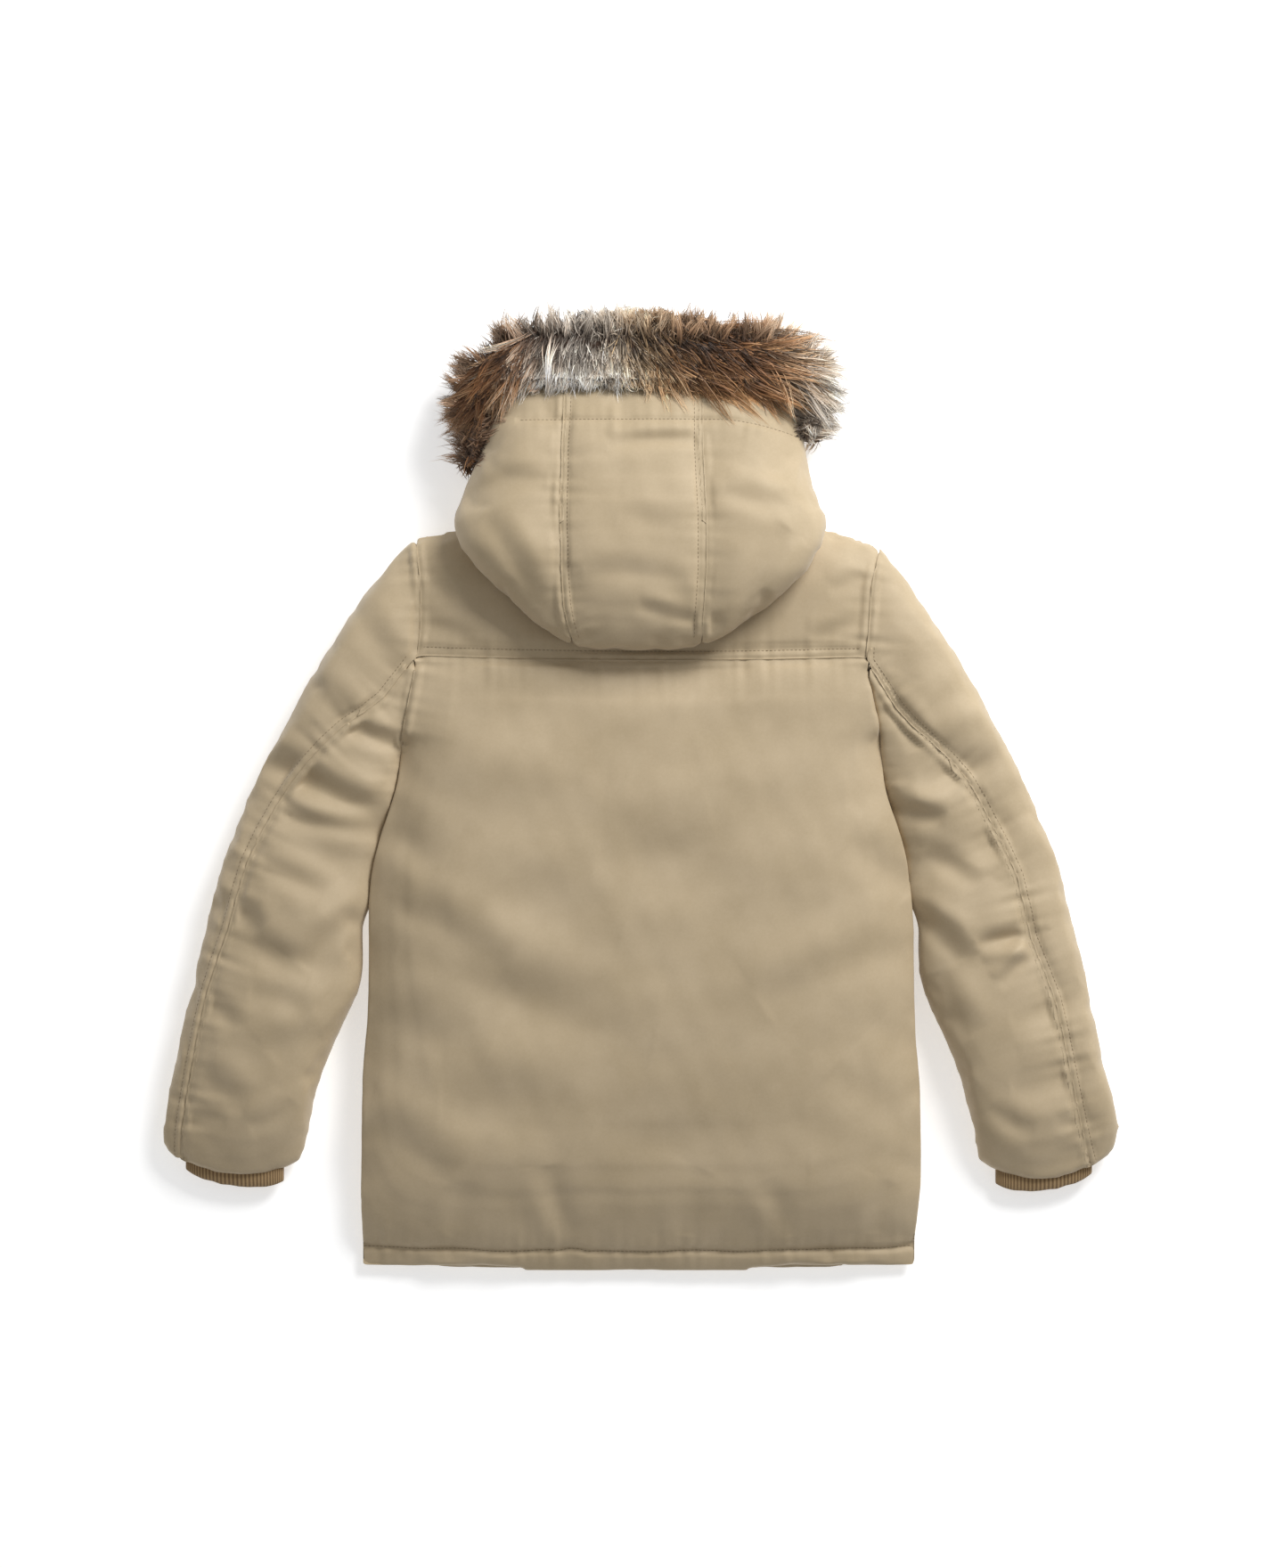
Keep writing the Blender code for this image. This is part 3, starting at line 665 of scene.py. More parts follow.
SLEEVE_CREASES = [
    Crease((-348, 30), (-232, -44), 7.0, 12, 7), Crease((-322, -22), (-238, -40), 4.0, 8, -4),
    Crease((-340, -72), (-288, -96), 3.2, 9, 3), Crease((-268, 66), (-214, 36), 4.6, 8, -5),
    Crease((-392, -100), (-338, -126), 3.6, 9, 4), Crease((-362, -128), (-296, -170), 3.6, 13, -5),
    Crease((-302, -160), (-254, -118), 3.4, 11, 4), Crease((-398, -188), (-362, -216), 2.6, 9, 3),
    Crease((-350, -182), (-296, -204), 2.8, 11, 4), Crease((-400, -244), (-352, -286), 2.4, 12, -4),
    Crease((-300, 92), (-256, 40), 2.8, 12, 5), Crease((-262, 156), (-222, 104), 2.4, 12, 5),
    Crease((-418, -302), (-372, -296), 2.0, 8, 3), Crease((-350, -306), (-312, -280), 2.2, 9, -3),
    Crease((-290, 140), (-318, 60), 2.0, 14, -6), Crease((-330, -240), (-286, -220), 2.0, 12, 4),
    Crease((226, -10), (276, -28), 5.0, 8, -3), Crease((236, -104), (284, -156), 4.6, 10, 5),
    Crease((352, -118), (312, -168), -3.8, 6, 3), Crease((356, -134), (300, -140), 5.4, 7, -4),
    Crease((330, 36), (252, 10), 3.6, 12, 6), Crease((350, -20), (296, -66), 3.2, 12, -6),
    Crease((254, 156), (224, 104), 2.4, 12, -5), Crease((306, 96), (250, 56), 2.6, 12, -5),
    Crease((396, -178), (330, -210), 2.6, 13, 5), Crease((402, -244), (330, -268), 2.4, 13, 5),
    Crease((416, -306), (370, -300), 2.0, 8, -3), Crease((352, -308), (312, -284), 2.2, 9, 3),
    Crease((218, 76), (250, 34), 3.8, 8, 4), Crease((262, -166), (296, -222), 2.6, 11, -4),
    Crease((290, 146), (322, 60), 2.0, 14, 6), Crease((262, -60), (300, -88), 3.0, 9, 3),
]
HOOD_CREASES = [
    Crease((-30, 303), (62, 306), 2.6, 6, 3), Crease((-4, 160), (74, 146), 2.2, 6, -3),
    Crease((128, 230), (86, 142), 3.4, 10, -6), Crease((-140, 240), (-96, 160), 2.6, 10, 6),
    Crease((-50, 190), (40, 182), 1.6, 9, 3), Crease((70, 262), (140, 250), 2.2, 9, -4),
    Crease((-150, 262), (-84, 272), 2.2, 9, 4), Crease((-20, 240), (30, 226), 1.2, 10, 3),
    Crease((90, 330), (140, 322), 2.0, 6, 2), Crease((-126, 330), (-80, 336), 2.0, 6, -2),
]


@dataclass(frozen=True)
class SeamStyle:
    """How a seam sits in the padding.

    groove and groove_width: the drawn-in line. pucker: height of the short wrinkles across it.
    stitch_offset: distance of its topstitching to the line's left, negative to the right, 0 for none.
    """

    groove: float = 1.5
    groove_width: float = 2.6
    pucker: float = 0.9
    pucker_reach: float = 15.0
    stitch_offset: float = 0.0
    closes: bool = True
    pull: float = 1.1
    pull_reach: float = 3.0


@dataclass
class Seam:
    """A sewn line with its style and the pieces it draws in."""

    name: str
    line: Line
    style: SeamStyle
    pieces: tuple[str, ...]
    seed: float = 1.0

    FLUSH = 8.5     # millimetres from the line within which both pieces meet at one height

    def shape(self, points: np.ndarray, upward: np.ndarray, top: "CadTop") -> np.ndarray:
        """Draw a piece's points in along the seam.

        Args:
            points: vertex places.
            upward: how far each vertex faces up, 0 to 1.
            top: heights of the CAD model's upper side.

        Returns:
            The moved places.
        """
        style = self.style
        distance, along, nearest, side = self.line.measure(points[:, :2])
        moved = points.copy()
        inside = (along > 0.0) & (along < self.line.length)
        if style.closes:
            near = np.flatnonzero((distance < self.FLUSH * MM) & (upward > 0.2))
            share = np.clip(1.0 - distance[near] / (self.FLUSH * MM), 0.0, 1.0)
            target = top.heights(points[near, :2])
            target += (self.shared_height(top)(along[near]) - target) * share * share
            weight = np.clip((self.FLUSH * MM - distance[near]) / (4.0 * MM), 0.0, 1.0)
            weight *= weight * (3.0 - 2.0 * weight)
            lift = np.where(np.isfinite(target), target - points[near, 2], 0.0)
            moved[near, 2] += lift * weight
            away = points[:, :2] - nearest
            unit = away / (distance[:, None] + 1e-9)
            reach = style.pull_reach * MM
            pull = np.minimum(style.pull * MM * np.exp(-(distance / reach) ** 2), distance * 0.9)
            moved[:, :2] -= unit * (pull * (upward > 0.0))[:, None]
        depth = style.groove * MM * np.exp(-(distance / (style.groove_width * MM)) ** 2)
        uneven = wander(along, self.seed, (11.0, 17.0, 26.0, 47.0))
        uneven *= 0.45 + 0.55 * np.clip(wander(along, self.seed + 3.0, (70.0, 125.0)) + 0.5, 0.0, 1.4)
        wrinkle = style.pucker * MM * uneven * np.exp(-distance / (style.pucker_reach * MM))
        wrinkle *= 1.0 - 0.6 * np.exp(-(distance / (2.5 * MM)) ** 2)
        if style.stitch_offset:
            row = np.abs(distance - abs(style.stitch_offset) * MM)
            depth += np.where(side * np.sign(style.stitch_offset) > 0, 0.8 * MM * np.exp(-(row / (1.6 * MM)) ** 2), 0.0)
        moved[:, 2] += np.where(inside, (wrinkle - depth), 0.0) * upward
        return moved

    def shared_height(self, top: CadTop) -> Callable[[np.ndarray], np.ndarray]:
        """Height at which both pieces meet, halfway between them, by distance along the seam.

        Args:
            top: heights of the CAD model's upper side.

        Returns:
            A function from distances along the line to heights.
        """
        steps = np.arange(0.5 * MM, self.line.length, 6 * MM)
        sides = [top.heights(self.line.at(steps, offset * MM)[0]) for offset in (-5.0, 5.0)]
        middle = np.nanmean(np.stack(sides), axis=0)
        known = np.isfinite(middle)
        return lambda along: np.interp(along, steps[known], middle[known])


def hem_line() -> Line:
    """The stitched row that holds the turned hem, slightly uneven, with a step left of the middle.

    Returns:
        Its line in plan.
    """
    low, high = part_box("back_panel")
    xs = np.linspace(low[0] + 4 * MM, high[0] - 2 * MM, 60)
    share = (xs - low[0]) / (high[0] - low[0])
    ys = low[1] + (23.5 - 4.5 * 4 * share * (1 - share)) * MM + wander(xs, 2.0, (70.0, 110.0)) * 0.8 * MM
    ys += np.where(np.abs(xs + 60 * MM) < 7 * MM, 2.2 * MM, 0.0)
    return Line(np.stack([xs, ys], axis=1))


def tunnel_line() -> Line:
    """The stitched row of the drawcord tunnel behind the hood's brim.

    Returns:
        Its line in plan.
    """
    low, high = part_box("hood_left")[0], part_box("hood_right")[1]
    xs = np.linspace(low[0] + 56 * MM, high[0] - 18 * MM, 30)
    ys = high[1] - 25 * MM - 16 * MM * np.clip((xs - 70 * MM) / (76 * MM), 0.0, 1.0) ** 1.5
    return Line(np.stack([xs, ys], axis=1))


def make_seams() -> list[Seam]:
    """All seams that show, found from the frame.

    Returns:
        The seams, in the order in which they are sewn.
    """
    plain = SeamStyle(groove=1.8, groove_width=2.6, pucker=0.9)
    seams = [
        Seam("yoke", seam_between("back_yoke", "back_panel", 0),
             SeamStyle(groove=1.4, pucker=0.9, stitch_offset=7.7), ("back_panel", "back_yoke"), 1.0),
        Seam("hood_seam_left", seam_between("hood_centre", "hood_left", 1),
             SeamStyle(groove=1.9, pucker=0.9, pucker_reach=12.0, stitch_offset=-6.5, pull=0.7),
             ("hood_centre", "hood_left"), 2.0),
        Seam("hood_seam_right", seam_between("hood_centre", "hood_right", 1),
             SeamStyle(groove=0.9, pucker=0.5, pucker_reach=12.0, stitch_offset=7.0),
             ("hood_centre", "hood_right"), 3.0),
        Seam("hem", hem_line(), SeamStyle(groove=3.4, groove_width=3.0, pucker=1.0, pucker_reach=12.0,
                                          stitch_offset=0.0, closes=False), ("back_panel",), 4.0),
        Seam("tunnel", tunnel_line(), SeamStyle(groove=1.4, groove_width=2.4, pucker=0.8, pucker_reach=10.0,
                                                closes=False), ("hood_centre", "hood_left", "hood_right"), 5.0),
    ]
    for index, side in enumerate(("left", "right")):
        turn = 1.0 if side == "left" else -1.0
        sleeve = (f"sleeve_{side}_outer", f"sleeve_{side}_inner")
        seams.append(Seam(f"sleeve_seam_{side}", seam_between(*sleeve, 1),
                          SeamStyle(groove=1.9, pucker=1.0, stitch_offset=6.0 * turn, pull=0.7), sleeve, 6.0 + index))
        for panel in ("back_yoke", "back_panel"):
            for part in sleeve:
                line = seam_between(panel, part, 1, 1.6)
                if len(line.points) > 1:
                    seams.append(Seam(f"armhole_{panel}_{part}", line, plain, (panel, part), 8.0 + index))
    corners = seams[0].line.points[[0, -1]]
    for side, sign, (x, y) in zip(("left", "right"), (-1.0, 1.0), corners):
        x, y = x + sign * 3.0 * MM, y - 4.0 * MM
        spot = Line(np.array([[x - 0.5 * MM, y], [x + 0.5 * MM, y]]))
        meeting = ("back_yoke", "back_panel", f"sleeve_{side}_outer", f"sleeve_{side}_inner")
        seams.append(Seam(f"corner_{side}", spot, SeamStyle(groove=0.5, pucker=0.0, pull=4.6, pull_reach=7.0), meeting))
    return seams


# ---- Padded pieces ---------------------------------------------------------------------------------

@dataclass
class PaddedPiece:
    """One cut piece of the shell with its filling, made from its CAD solid."""

    node: str
    voxel: float
    cap: float
    fill: float
    creases: tuple[Crease, ...] = ()
    refine: bool = True
    float_rounds: int = 12
    crease_gain: float = 1.0
    obj: Object | None = None

    def start(self) -> None:
        """Copy the CAD solid, remesh it evenly and give it a cloth simulation with its edges held."""
        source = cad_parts[self.node]
        mesh = source.data.copy()
        self.obj = bpy.data.objects.new(f"padded_{self.node}", mesh)
        bpy.context.scene.collection.objects.link(self.obj)
        select_only(self.obj)
        apply_modifier(self.obj, "WELD", merge_threshold=0.00001)
        apply_modifier(self.obj, "REMESH", mode="VOXEL", voxel_size=self.voxel * MM, use_smooth_shade=True)
        even_out(self.obj, 6)
        self.hold_edges()
        modifier = self.obj.modifiers.new("filling", "CLOTH")
        modifier.settings.quality = 4
        modifier.settings.mass = 0.25
        modifier.settings.tension_stiffness = 12.0
        modifier.settings.compression_stiffness = 12.0
        modifier.settings.bending_stiffness = 0.3
        modifier.settings.use_pressure = True
        modifier.settings.uniform_pressure_force = 4.0
        modifier.settings.shrink_min = -0.02
        modifier.settings.effector_weights.gravity = 0.0
        modifier.settings.vertex_group_mass = "held"
        modifier.point_cache.frame_end = 20

    def hold_edges(self) -> None:
        """Hold the points that lie on the ground or close to a neighbouring piece."""
        depsgraph = bpy.context.evaluated_depsgraph_get()
        others = [BVHTree.FromObject(obj, depsgraph) for name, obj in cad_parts.items() if name != self.node]
        held = []
        for vertex in self.obj.data.vertices:
            near = any(tree.find_nearest(vertex.co, 3.5 * MM)[0] is not None for tree in others)
            if near or vertex.co.z < 1.5 * MM:
                held.append(vertex.index)
        group = self.obj.vertex_groups.new(name="held")
        group.add(held, 1.0, "REPLACE")

    def settle(self) -> None:
        """Apply the simulation, with each point's move capped."""
        before = points_of(self.obj)
        if self.obj.modifiers:
            select_only(self.obj)
            bpy.ops.object.modifier_apply(modifier="filling")
            self.obj.vertex_groups.clear()
            move = points_of(self.obj) - before
            size = np.linalg.norm(move, axis=1, keepdims=True)
            set_points(self.obj, before + move * np.minimum(1.0, self.cap * MM / (size + 1e-9)))
        even_out(self.obj, 6)
        float_out(self.obj, self.float_rounds)
        if self.refine:
            apply_modifier(self.obj, "SUBSURF", levels=1, render_levels=1)

    def sculpt(self, seams: list[Seam]) -> None:
        """Add the folds, the slow unevenness of the filling, and the sewn lines.

        Args:
            seams: every seam of the garment.
        """
        points = points_of(self.obj)
        upward = np.clip(normals_of(self.obj)[:, 2] * 1.6, 0.0, 1.0)
        plan = points[:, :2].copy()
        rise = np.zeros(len(points))
        for crease in self.creases:
            rise += self.crease_gain * crease.height(plan)
        rise += 1.2 * MM * relief(plan, (80.0, 220.0), 0.8, 5)
        rise += 0.16 * MM * relief(plan, (24.0, 60.0), 1.5, 6)
        points[:, 2] += rise * upward
        for seam in seams:
            if self.node in seam.pieces:
                points = seam.shape(points, upward, CadTop(seam.pieces))
        points[:, 2] = np.maximum(points[:, 2], 0.0)
        if self.node.startswith("front"):
            points[:, 0] *= 1.0 - 0.013 * np.clip((np.abs(points[:, 0]) - 190 * MM) / (40 * MM), 0.0, 1.0)
        if self.node.startswith("hood"):
            points[:, 1] += 7 * MM * np.clip((points[:, 1] - 325 * MM) / (27 * MM), 0.0, 1.0) ** 2
        set_points(self.obj, points)
        self.obj.data.shade_smooth()

    def finish(self, material: bpy.types.Material) -> None:
        """Args:
            material: the shell's finish.
        """
        hand_over(self.obj, material, (self.node,))


def run_simulation(pieces: list[PaddedPiece]) -> None:
    """Step the cloth of all pieces together.

    Args:
        pieces: padded pieces that have been started.
    """
    scene = bpy.context.scene
    for step in range(1, 21):
        scene.frame_set(step)
    LOG.info("filled %d pieces", len(pieces))


@dataclass
class Shell:
    """The whole padded shell: body, sleeves and hood."""

    body_voxel: float = 5.0
    front_voxel: float = 4.2
    sleeve_voxel: float = 5.0
    hood_voxel: float = 4.2

    def build(self) -> tuple[list[PaddedPiece], list[Seam]]:
        """Make every padded piece and the seams between them.

        Returns:
            The pieces and the seams.
        """
        seams = make_seams()
        body = tuple(BACK_CREASES)
        pieces = [
            PaddedPiece("back_panel", self.body_voxel, 5.0, 0.4, body, float_rounds=150, crease_gain=1.45),
            PaddedPiece("back_yoke", self.body_voxel, 4.0, 0.4, tuple(YOKE_CREASES), float_rounds=30),
            PaddedPiece("front_left", self.front_voxel, 3.0, 0.4, refine=False),
            PaddedPiece("front_right", self.front_voxel, 3.0, 0.4, refine=False),
        ]
        for side in ("left", "right"):
            for part in ("outer", "inner"):
                pieces.append(PaddedPiece(f"sleeve_{side}_{part}", self.sleeve_voxel, 5.0, 0.45,
                                          tuple(SLEEVE_CREASES)))
        for part in ("centre", "left", "right"):
            pieces.append(PaddedPiece(f"hood_{part}", self.hood_voxel, 4.0, 0.45, tuple(HOOD_CREASES)))
        for piece in pieces:
            piece.start()
        run_simulation(pieces)
        twill = TwillFinish().material()
        for piece in pieces:
            piece.settle()
            piece.sculpt(seams)
        for side, sign in (("left", -1.0), ("right", 1.0)):
            self.trim_side(sign, [piece.obj for piece in pieces if piece.node == "back_panel"], 0.0)
            self.trim_side(sign, [piece.obj for piece in pieces if piece.node == f"front_{side}"], 1.2)
            self.meet(side, sign, {piece.node: piece for piece in pieces})
        for piece in pieces:
            piece.finish(twill)
        return pieces, seams

    @staticmethod
    def trim_side(sign: float, objects: list[Object], inset: float) -> None:
        """Even out a side edge, where the remesh leaves steps in the thin wedge of cloth.

        Args:
            sign: direction of the side along X.
            objects: pieces to trim.
            inset: further distance inwards in millimetres.
        """
        levels = np.arange(-424.0, 40.0, 2.5) * MM
        for obj in objects:
            points = points_of(obj)
            out = points[:, 0] * sign
            reach = np.array([out[np.abs(points[:, 1] - level) < 1.6 * MM].max(initial=0.0) for level in levels])
            reach[reach < 150 * MM] = np.median(reach)
            padded = np.pad(reach, 9, mode="edge")
            lowest = np.array([padded[k:k + 19].min() for k in range(len(reach))])
            padded = np.pad(lowest, 9, mode="edge")
            smooth = np.array([padded[k:k + 19].mean() for k in range(len(reach))]) - inset * MM
            edge = np.interp(points[:, 1], levels, smooth)
            inside = (points[:, 1] < levels[-1]) & (out > edge)
            points[inside, 0] = sign * edge[inside]
            set_points(obj, points)

    def meet(self, side: str, sign: float, pieces: dict[str, PaddedPiece]) -> None:
        """Let the upper arm's inner edge press against the body, as its filling makes it do.

        Args:
            side: left or right.
            sign: direction of the side along X.
            pieces: padded pieces by node.
        """
        levels = np.arange(-170.0, 60.0, 3.0) * MM
        body = np.concatenate([points_of(pieces[name].obj) for name in ("back_panel", f"front_{side}")])
        arms = [pieces[f"sleeve_{side}_{part}"].obj for part in ("inner", "outer")]
        arm = np.concatenate([points_of(obj) for obj in arms])
        gaps = []
        edges = []
        for level in levels:
            body_row = body[np.abs(body[:, 1] - level) < 3 * MM, 0] * sign
            arm_row = arm[np.abs(arm[:, 1] - level) < 3 * MM, 0] * sign
            edges.append(arm_row.min())
            gaps.append(arm_row.min() - body_row.max())
        window = np.clip((levels + 128 * MM) / (34 * MM), 0.0, 1.0)
        shift = np.clip(np.array(gaps) + 3.0 * MM, 0.0, 14 * MM) * window * window * (3 - 2 * window)
        for obj in arms:
            points = points_of(obj)
            move = np.interp(points[:, 1], levels, shift, left=0.0, right=shift[-1])
            move *= np.clip((130 * MM - points[:, 1]) / (70 * MM), 0.0, 1.0)
            inward = points[:, 0] * sign - np.interp(points[:, 1], levels, np.array(edges))
            points[:, 0] -= sign * move * np.exp(-(np.clip(inward, 0.0, None) / (38 * MM)) ** 2)
            set_points(obj, points)


# ---- Stitches --------------------------------------------------------------------------------------

@dataclass
class Topstitching:
    """Rows of short lockstitches pressed into the cloth beside the seams."""

    length: float = 2.9
    pitch: float = 3.7
    thickness: float = 0.55
    pieces: tuple[PaddedPiece, ...] = ()

    def rows(self, seams: list[Seam]) -> list[tuple[str, Line, float]]:
        """The rows that show, each with its name, line and offset."""
        rows = [(seam.name, seam.line, seam.style.stitch_offset) for seam in seams if seam.style.stitch_offset]
        rows += [(seam.name, seam.line, 0.0) for seam in seams if not seam.style.closes]
        return rows

    def build(self, seams: list[Seam]) -> None:
        """Lay every row on the finished cloth.

        Args:
            seams: every seam of the garment.
        """
        depsgraph = bpy.context.evaluated_depsgraph_get()
        trees = [BVHTree.FromObject(piece.obj, depsgraph) for piece in self.pieces]
        material = ThreadFinish().material()
        for name, line, offset in self.rows(seams):
            obj = self.row(f"stitches_{name}", line, offset * MM, trees)
            if obj is not None:
                hand_over(obj, material)

    def row(self, name: str, line: Line, offset: float, trees: list[BVHTree]) -> Object | None:
        """Make one row as a joined mesh of eight-cornered stitches.

        Args:
            name: seam's name.
            line: seam in plan.
            offset: distance of the row to the seam's left.
            trees: surfaces it may land on.

        Returns:
            The row, or None where no stitch lands.
        """
        ends = []
        for start in np.arange(4 * MM, line.length - 6 * MM, self.pitch * MM):
            pair, _ = line.at(np.array([start, start + self.length * MM]), offset)
            landed = [self.land(place, trees) for place in pair]
            if all(point is not None for point in landed):
                ends.append(landed)
        if not ends:
            return None
        corners = []
        faces = []
        half = self.thickness * MM / 2
        for first, last in ends:
            direction = (last - first).normalized()
            across = direction.cross(Vector((0.0, 0.0, 1.0))).normalized() * half
            lift = Vector((0.0, 0.0, half))
            base = len(corners)
            middle = (first + last) / 2 + lift * 0.9
            for place, size in ((first, 0.35), (middle, 1.0), (last, 0.35)):
                for side, up in ((1, 0), (0, 1), (-1, 0), (0, -1)):
                    corners.append(place + across * side * size + lift * up * size)
            for ring in (0, 4):
                for k in range(4):
                    after = (k + 1) % 4
                    faces.append((base + ring + k, base + ring + after, base + ring + 4 + after, base + ring + 4 + k))
            faces.append((base + 3, base + 2, base + 1, base))
            faces.append((base + 8, base + 9, base + 10, base + 11))
        return make_mesh(name, np.array([list(corner) for corner in corners]), faces)

    @staticmethod
    def land(place: np.ndarray, trees: list[BVHTree]) -> Vector | None:
        """Highest point of the cloth over a place in plan."""
        start = Vector((float(place[0]), float(place[1]), 0.3))
        hits = [tree.ray_cast(start, Vector((0.0, 0.0, -1.0)))[0] for tree in trees]
        heights = [hit.z for hit in hits if hit is not None]
        return Vector((start.x, start.y, max(heights))) if heights else None


# ---- Rib cuffs -------------------------------------------------------------------------------------

@dataclass
class RibCuff:
    """Rib knit tube, pressed flat, that stands out of a sleeve end."""

    side: str
    rib_mm: float = 2.4
    rib_depth: float = 0.55
    points_per_rib: int = 4
    rows: int = 10
    inside: float = 16.0

    def build(self, material: bpy.types.Material) -> None:
        """Make the ribbed tube from the CAD cuff's own ends.

        Args:
            material: the knit's finish.
        """
        low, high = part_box(f"cuff_{self.side}")
        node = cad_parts[f"cuff_{self.side}"]
        outline = points_of(node)
        width = high[0] - low[0]
        ribs = int(2 * width / (self.rib_mm * MM))
        count = ribs * self.points_per_rib
        turn = 2 * math.pi * np.arange(count) / count
        across = 0.5 - 0.5 * np.cos(turn)
        xs = low[0] + 1.0 * MM + (width - 2.0 * MM) * across
        start_y, end_y = self.edges(outline, xs)
        flat = np.sign(np.sin(turn)) * np.abs(np.sin(turn)) ** 0.45
        middle = (low[2] + high[2]) / 2
        rib = 0.5 + 0.5 * np.cos(2 * math.pi * np.arange(count) / self.points_per_rib)
        points = []
        # painted shade for the knit's colour: low in the valleys between ribs, lower still on the tube's inner layer
        shade = []
        for layer, thin in ((0, 0.0), (1, 2.6)):
            for row in range(self.rows):
                share = row / (self.rows - 1)
                edge = max(0.0, (share - 0.72) / 0.28)
                half = 8.2 - 1.2 * share - 2.2 * edge ** 2 - thin
                swell = (half + (self.rib_depth * rib * (1 - layer))) * MM
                outer = 1.0 - across if self.side == "left" else across
                rounding = (6.0 * (outer - 0.45) + 3.5 * np.abs(2 * across - 1.0) ** 5) * MM * share
                ys = start_y + self.inside * MM + (end_y - start_y - self.inside * MM) * share + rounding
                ring_x = xs + np.cos(turn) * (thin * MM)
                points.append(np.stack([ring_x, ys, middle + flat * swell], axis=1))
                shade.append(rib if layer == 0 else rib * 0.3)
        faces = self.wrap(count)
        obj = make_mesh(f"rib_cuff_{self.side}", np.concatenate(points), faces)
        # the rib attribute carries this painted shade to the knit's colour
        attribute = obj.data.attributes.new("rib", "FLOAT", "POINT")
        attribute.data.foreach_set("value", np.concatenate(shade))
        apply_modifier(obj, "SUBSURF", levels=1, render_levels=1)
        hand_over(obj, material, (f"cuff_{self.side}",))

    def edges(self, outline: np.ndarray, xs: np.ndarray) -> tuple[np.ndarray, np.ndarray]:
        """Y of the CAD cuff's sleeve end and free end over each X.

        Args:
            outline: points of the CAD cuff.
            xs: places across the cuff.

        Returns:
            Y of the sleeve end and Y of the free end.
        """
        slots = np.linspace(outline[:, 0].min(), outline[:, 0].max(), 12)
        near = []
        for x in slots:
            close = outline[np.abs(outline[:, 0] - x) < 9 * MM]
            near.append((close[:, 1].max(), close[:, 1].min()))
        table = np.array(near)
        return np.interp(xs, slots, table[:, 0]), np.interp(xs, slots, table[:, 1])

    def wrap(self, count: int) -> list[tuple[int, int, int, int]]:
        """Faces of the outer and inner tube and the two ends.

        Args:
            count: columns round the tube.

        Returns:
            Vertex numbers of each face.
        """
        faces = []
        layer = self.rows * count
        for k in range(count):
            after = (k + 1) % count
            for row in range(self.rows - 1):
                a, b = row * count, (row + 1) * count
                faces.append((a + k, b + k, b + after, a + after))
                faces.append((layer + a + k, layer + a + after, layer + b + after, layer + b + k))
            last = (self.rows - 1) * count
            faces.append((last + k, layer + last + k, layer + last + after, last + after))
            faces.append((k, after, layer + after, layer + k))
        return faces


# ---- Fur trim --------------------------------------------------------------------------------------

@dataclass(frozen=True)
class CoatRow:
    """How the coat lies at one place across the trim, in millimetres and degrees in plan from +X.

    low and high bound the hair's reach in plan; root, mid and tip are its colours.
    """

    x: float
    heading: float
    length: float
    low: float
    high: float
    root: str
    mid: str
    tip: str


COAT = [
    CoatRow(-170, -104, 34, 286, 384, "#25170E", "#6B4526", "#A07B58"),
    CoatRow(-152, -112, 36, 286, 404, "#25170E", "#6E4829", "#A38161"),
    CoatRow(-136, -122, 40, 326, 418, "#25170E", "#6A4527", "#A5825F"),
    CoatRow(-112, -116, 42, 338, 416, "#2D1E15", "#7C5636", "#BD9F7E"),
    CoatRow(-90, -106, 44, 358, 422, "#33261D", "#A59483", "#EAE2D7"),
    CoatRow(-58, -100, 46, 362, 420, "#3A2D25", "#C6BCAF", "#FAF5EC"),
    CoatRow(-28, -88, 46, 362, 418, "#3C2E24", "#BDAF9D", "#F1E8DA"),
    CoatRow(-2, -72, 48, 358, 418, "#36271B", "#A58A67", "#DCC8A9"),
    CoatRow(24, -54, 54, 353, 415, "#24170D", "#785637", "#B8966F"),
    CoatRow(60, -42, 60, 347, 417, "#1C1109", "#6E4A2C", "#AB855A"),
    CoatRow(98, -34, 60, 341, 415, "#1E130A", "#744E30", "#B08A62"),
    CoatRow(124, -30, 48, 337, 416, "#2B1E15", "#8F7252", "#CDBAA1"),
    CoatRow(144, -34, 38, 330, 414, "#4B3D33", "#BBAE9F", "#F0E9DF"),
    CoatRow(158, -52, 34, 316, 400, "#54463B", "#BEB2A3", "#F0E9DF"),
    CoatRow(172, -66, 30, 308, 374, "#54463B", "#B5A898", "#DAD2C7"),
]
OUTER_MID = "#6E5A48"
OUTER_TIP = "#AC9C8B"


@dataclass(frozen=True)
class CoatKind:
    """One coat of hair: how many locks, hairs in a lock, relative length, width and gathering."""

    name: str
    locks: int
    hairs: int
    length: float
    width: float
    spread: float
    gather: float
    shade: float


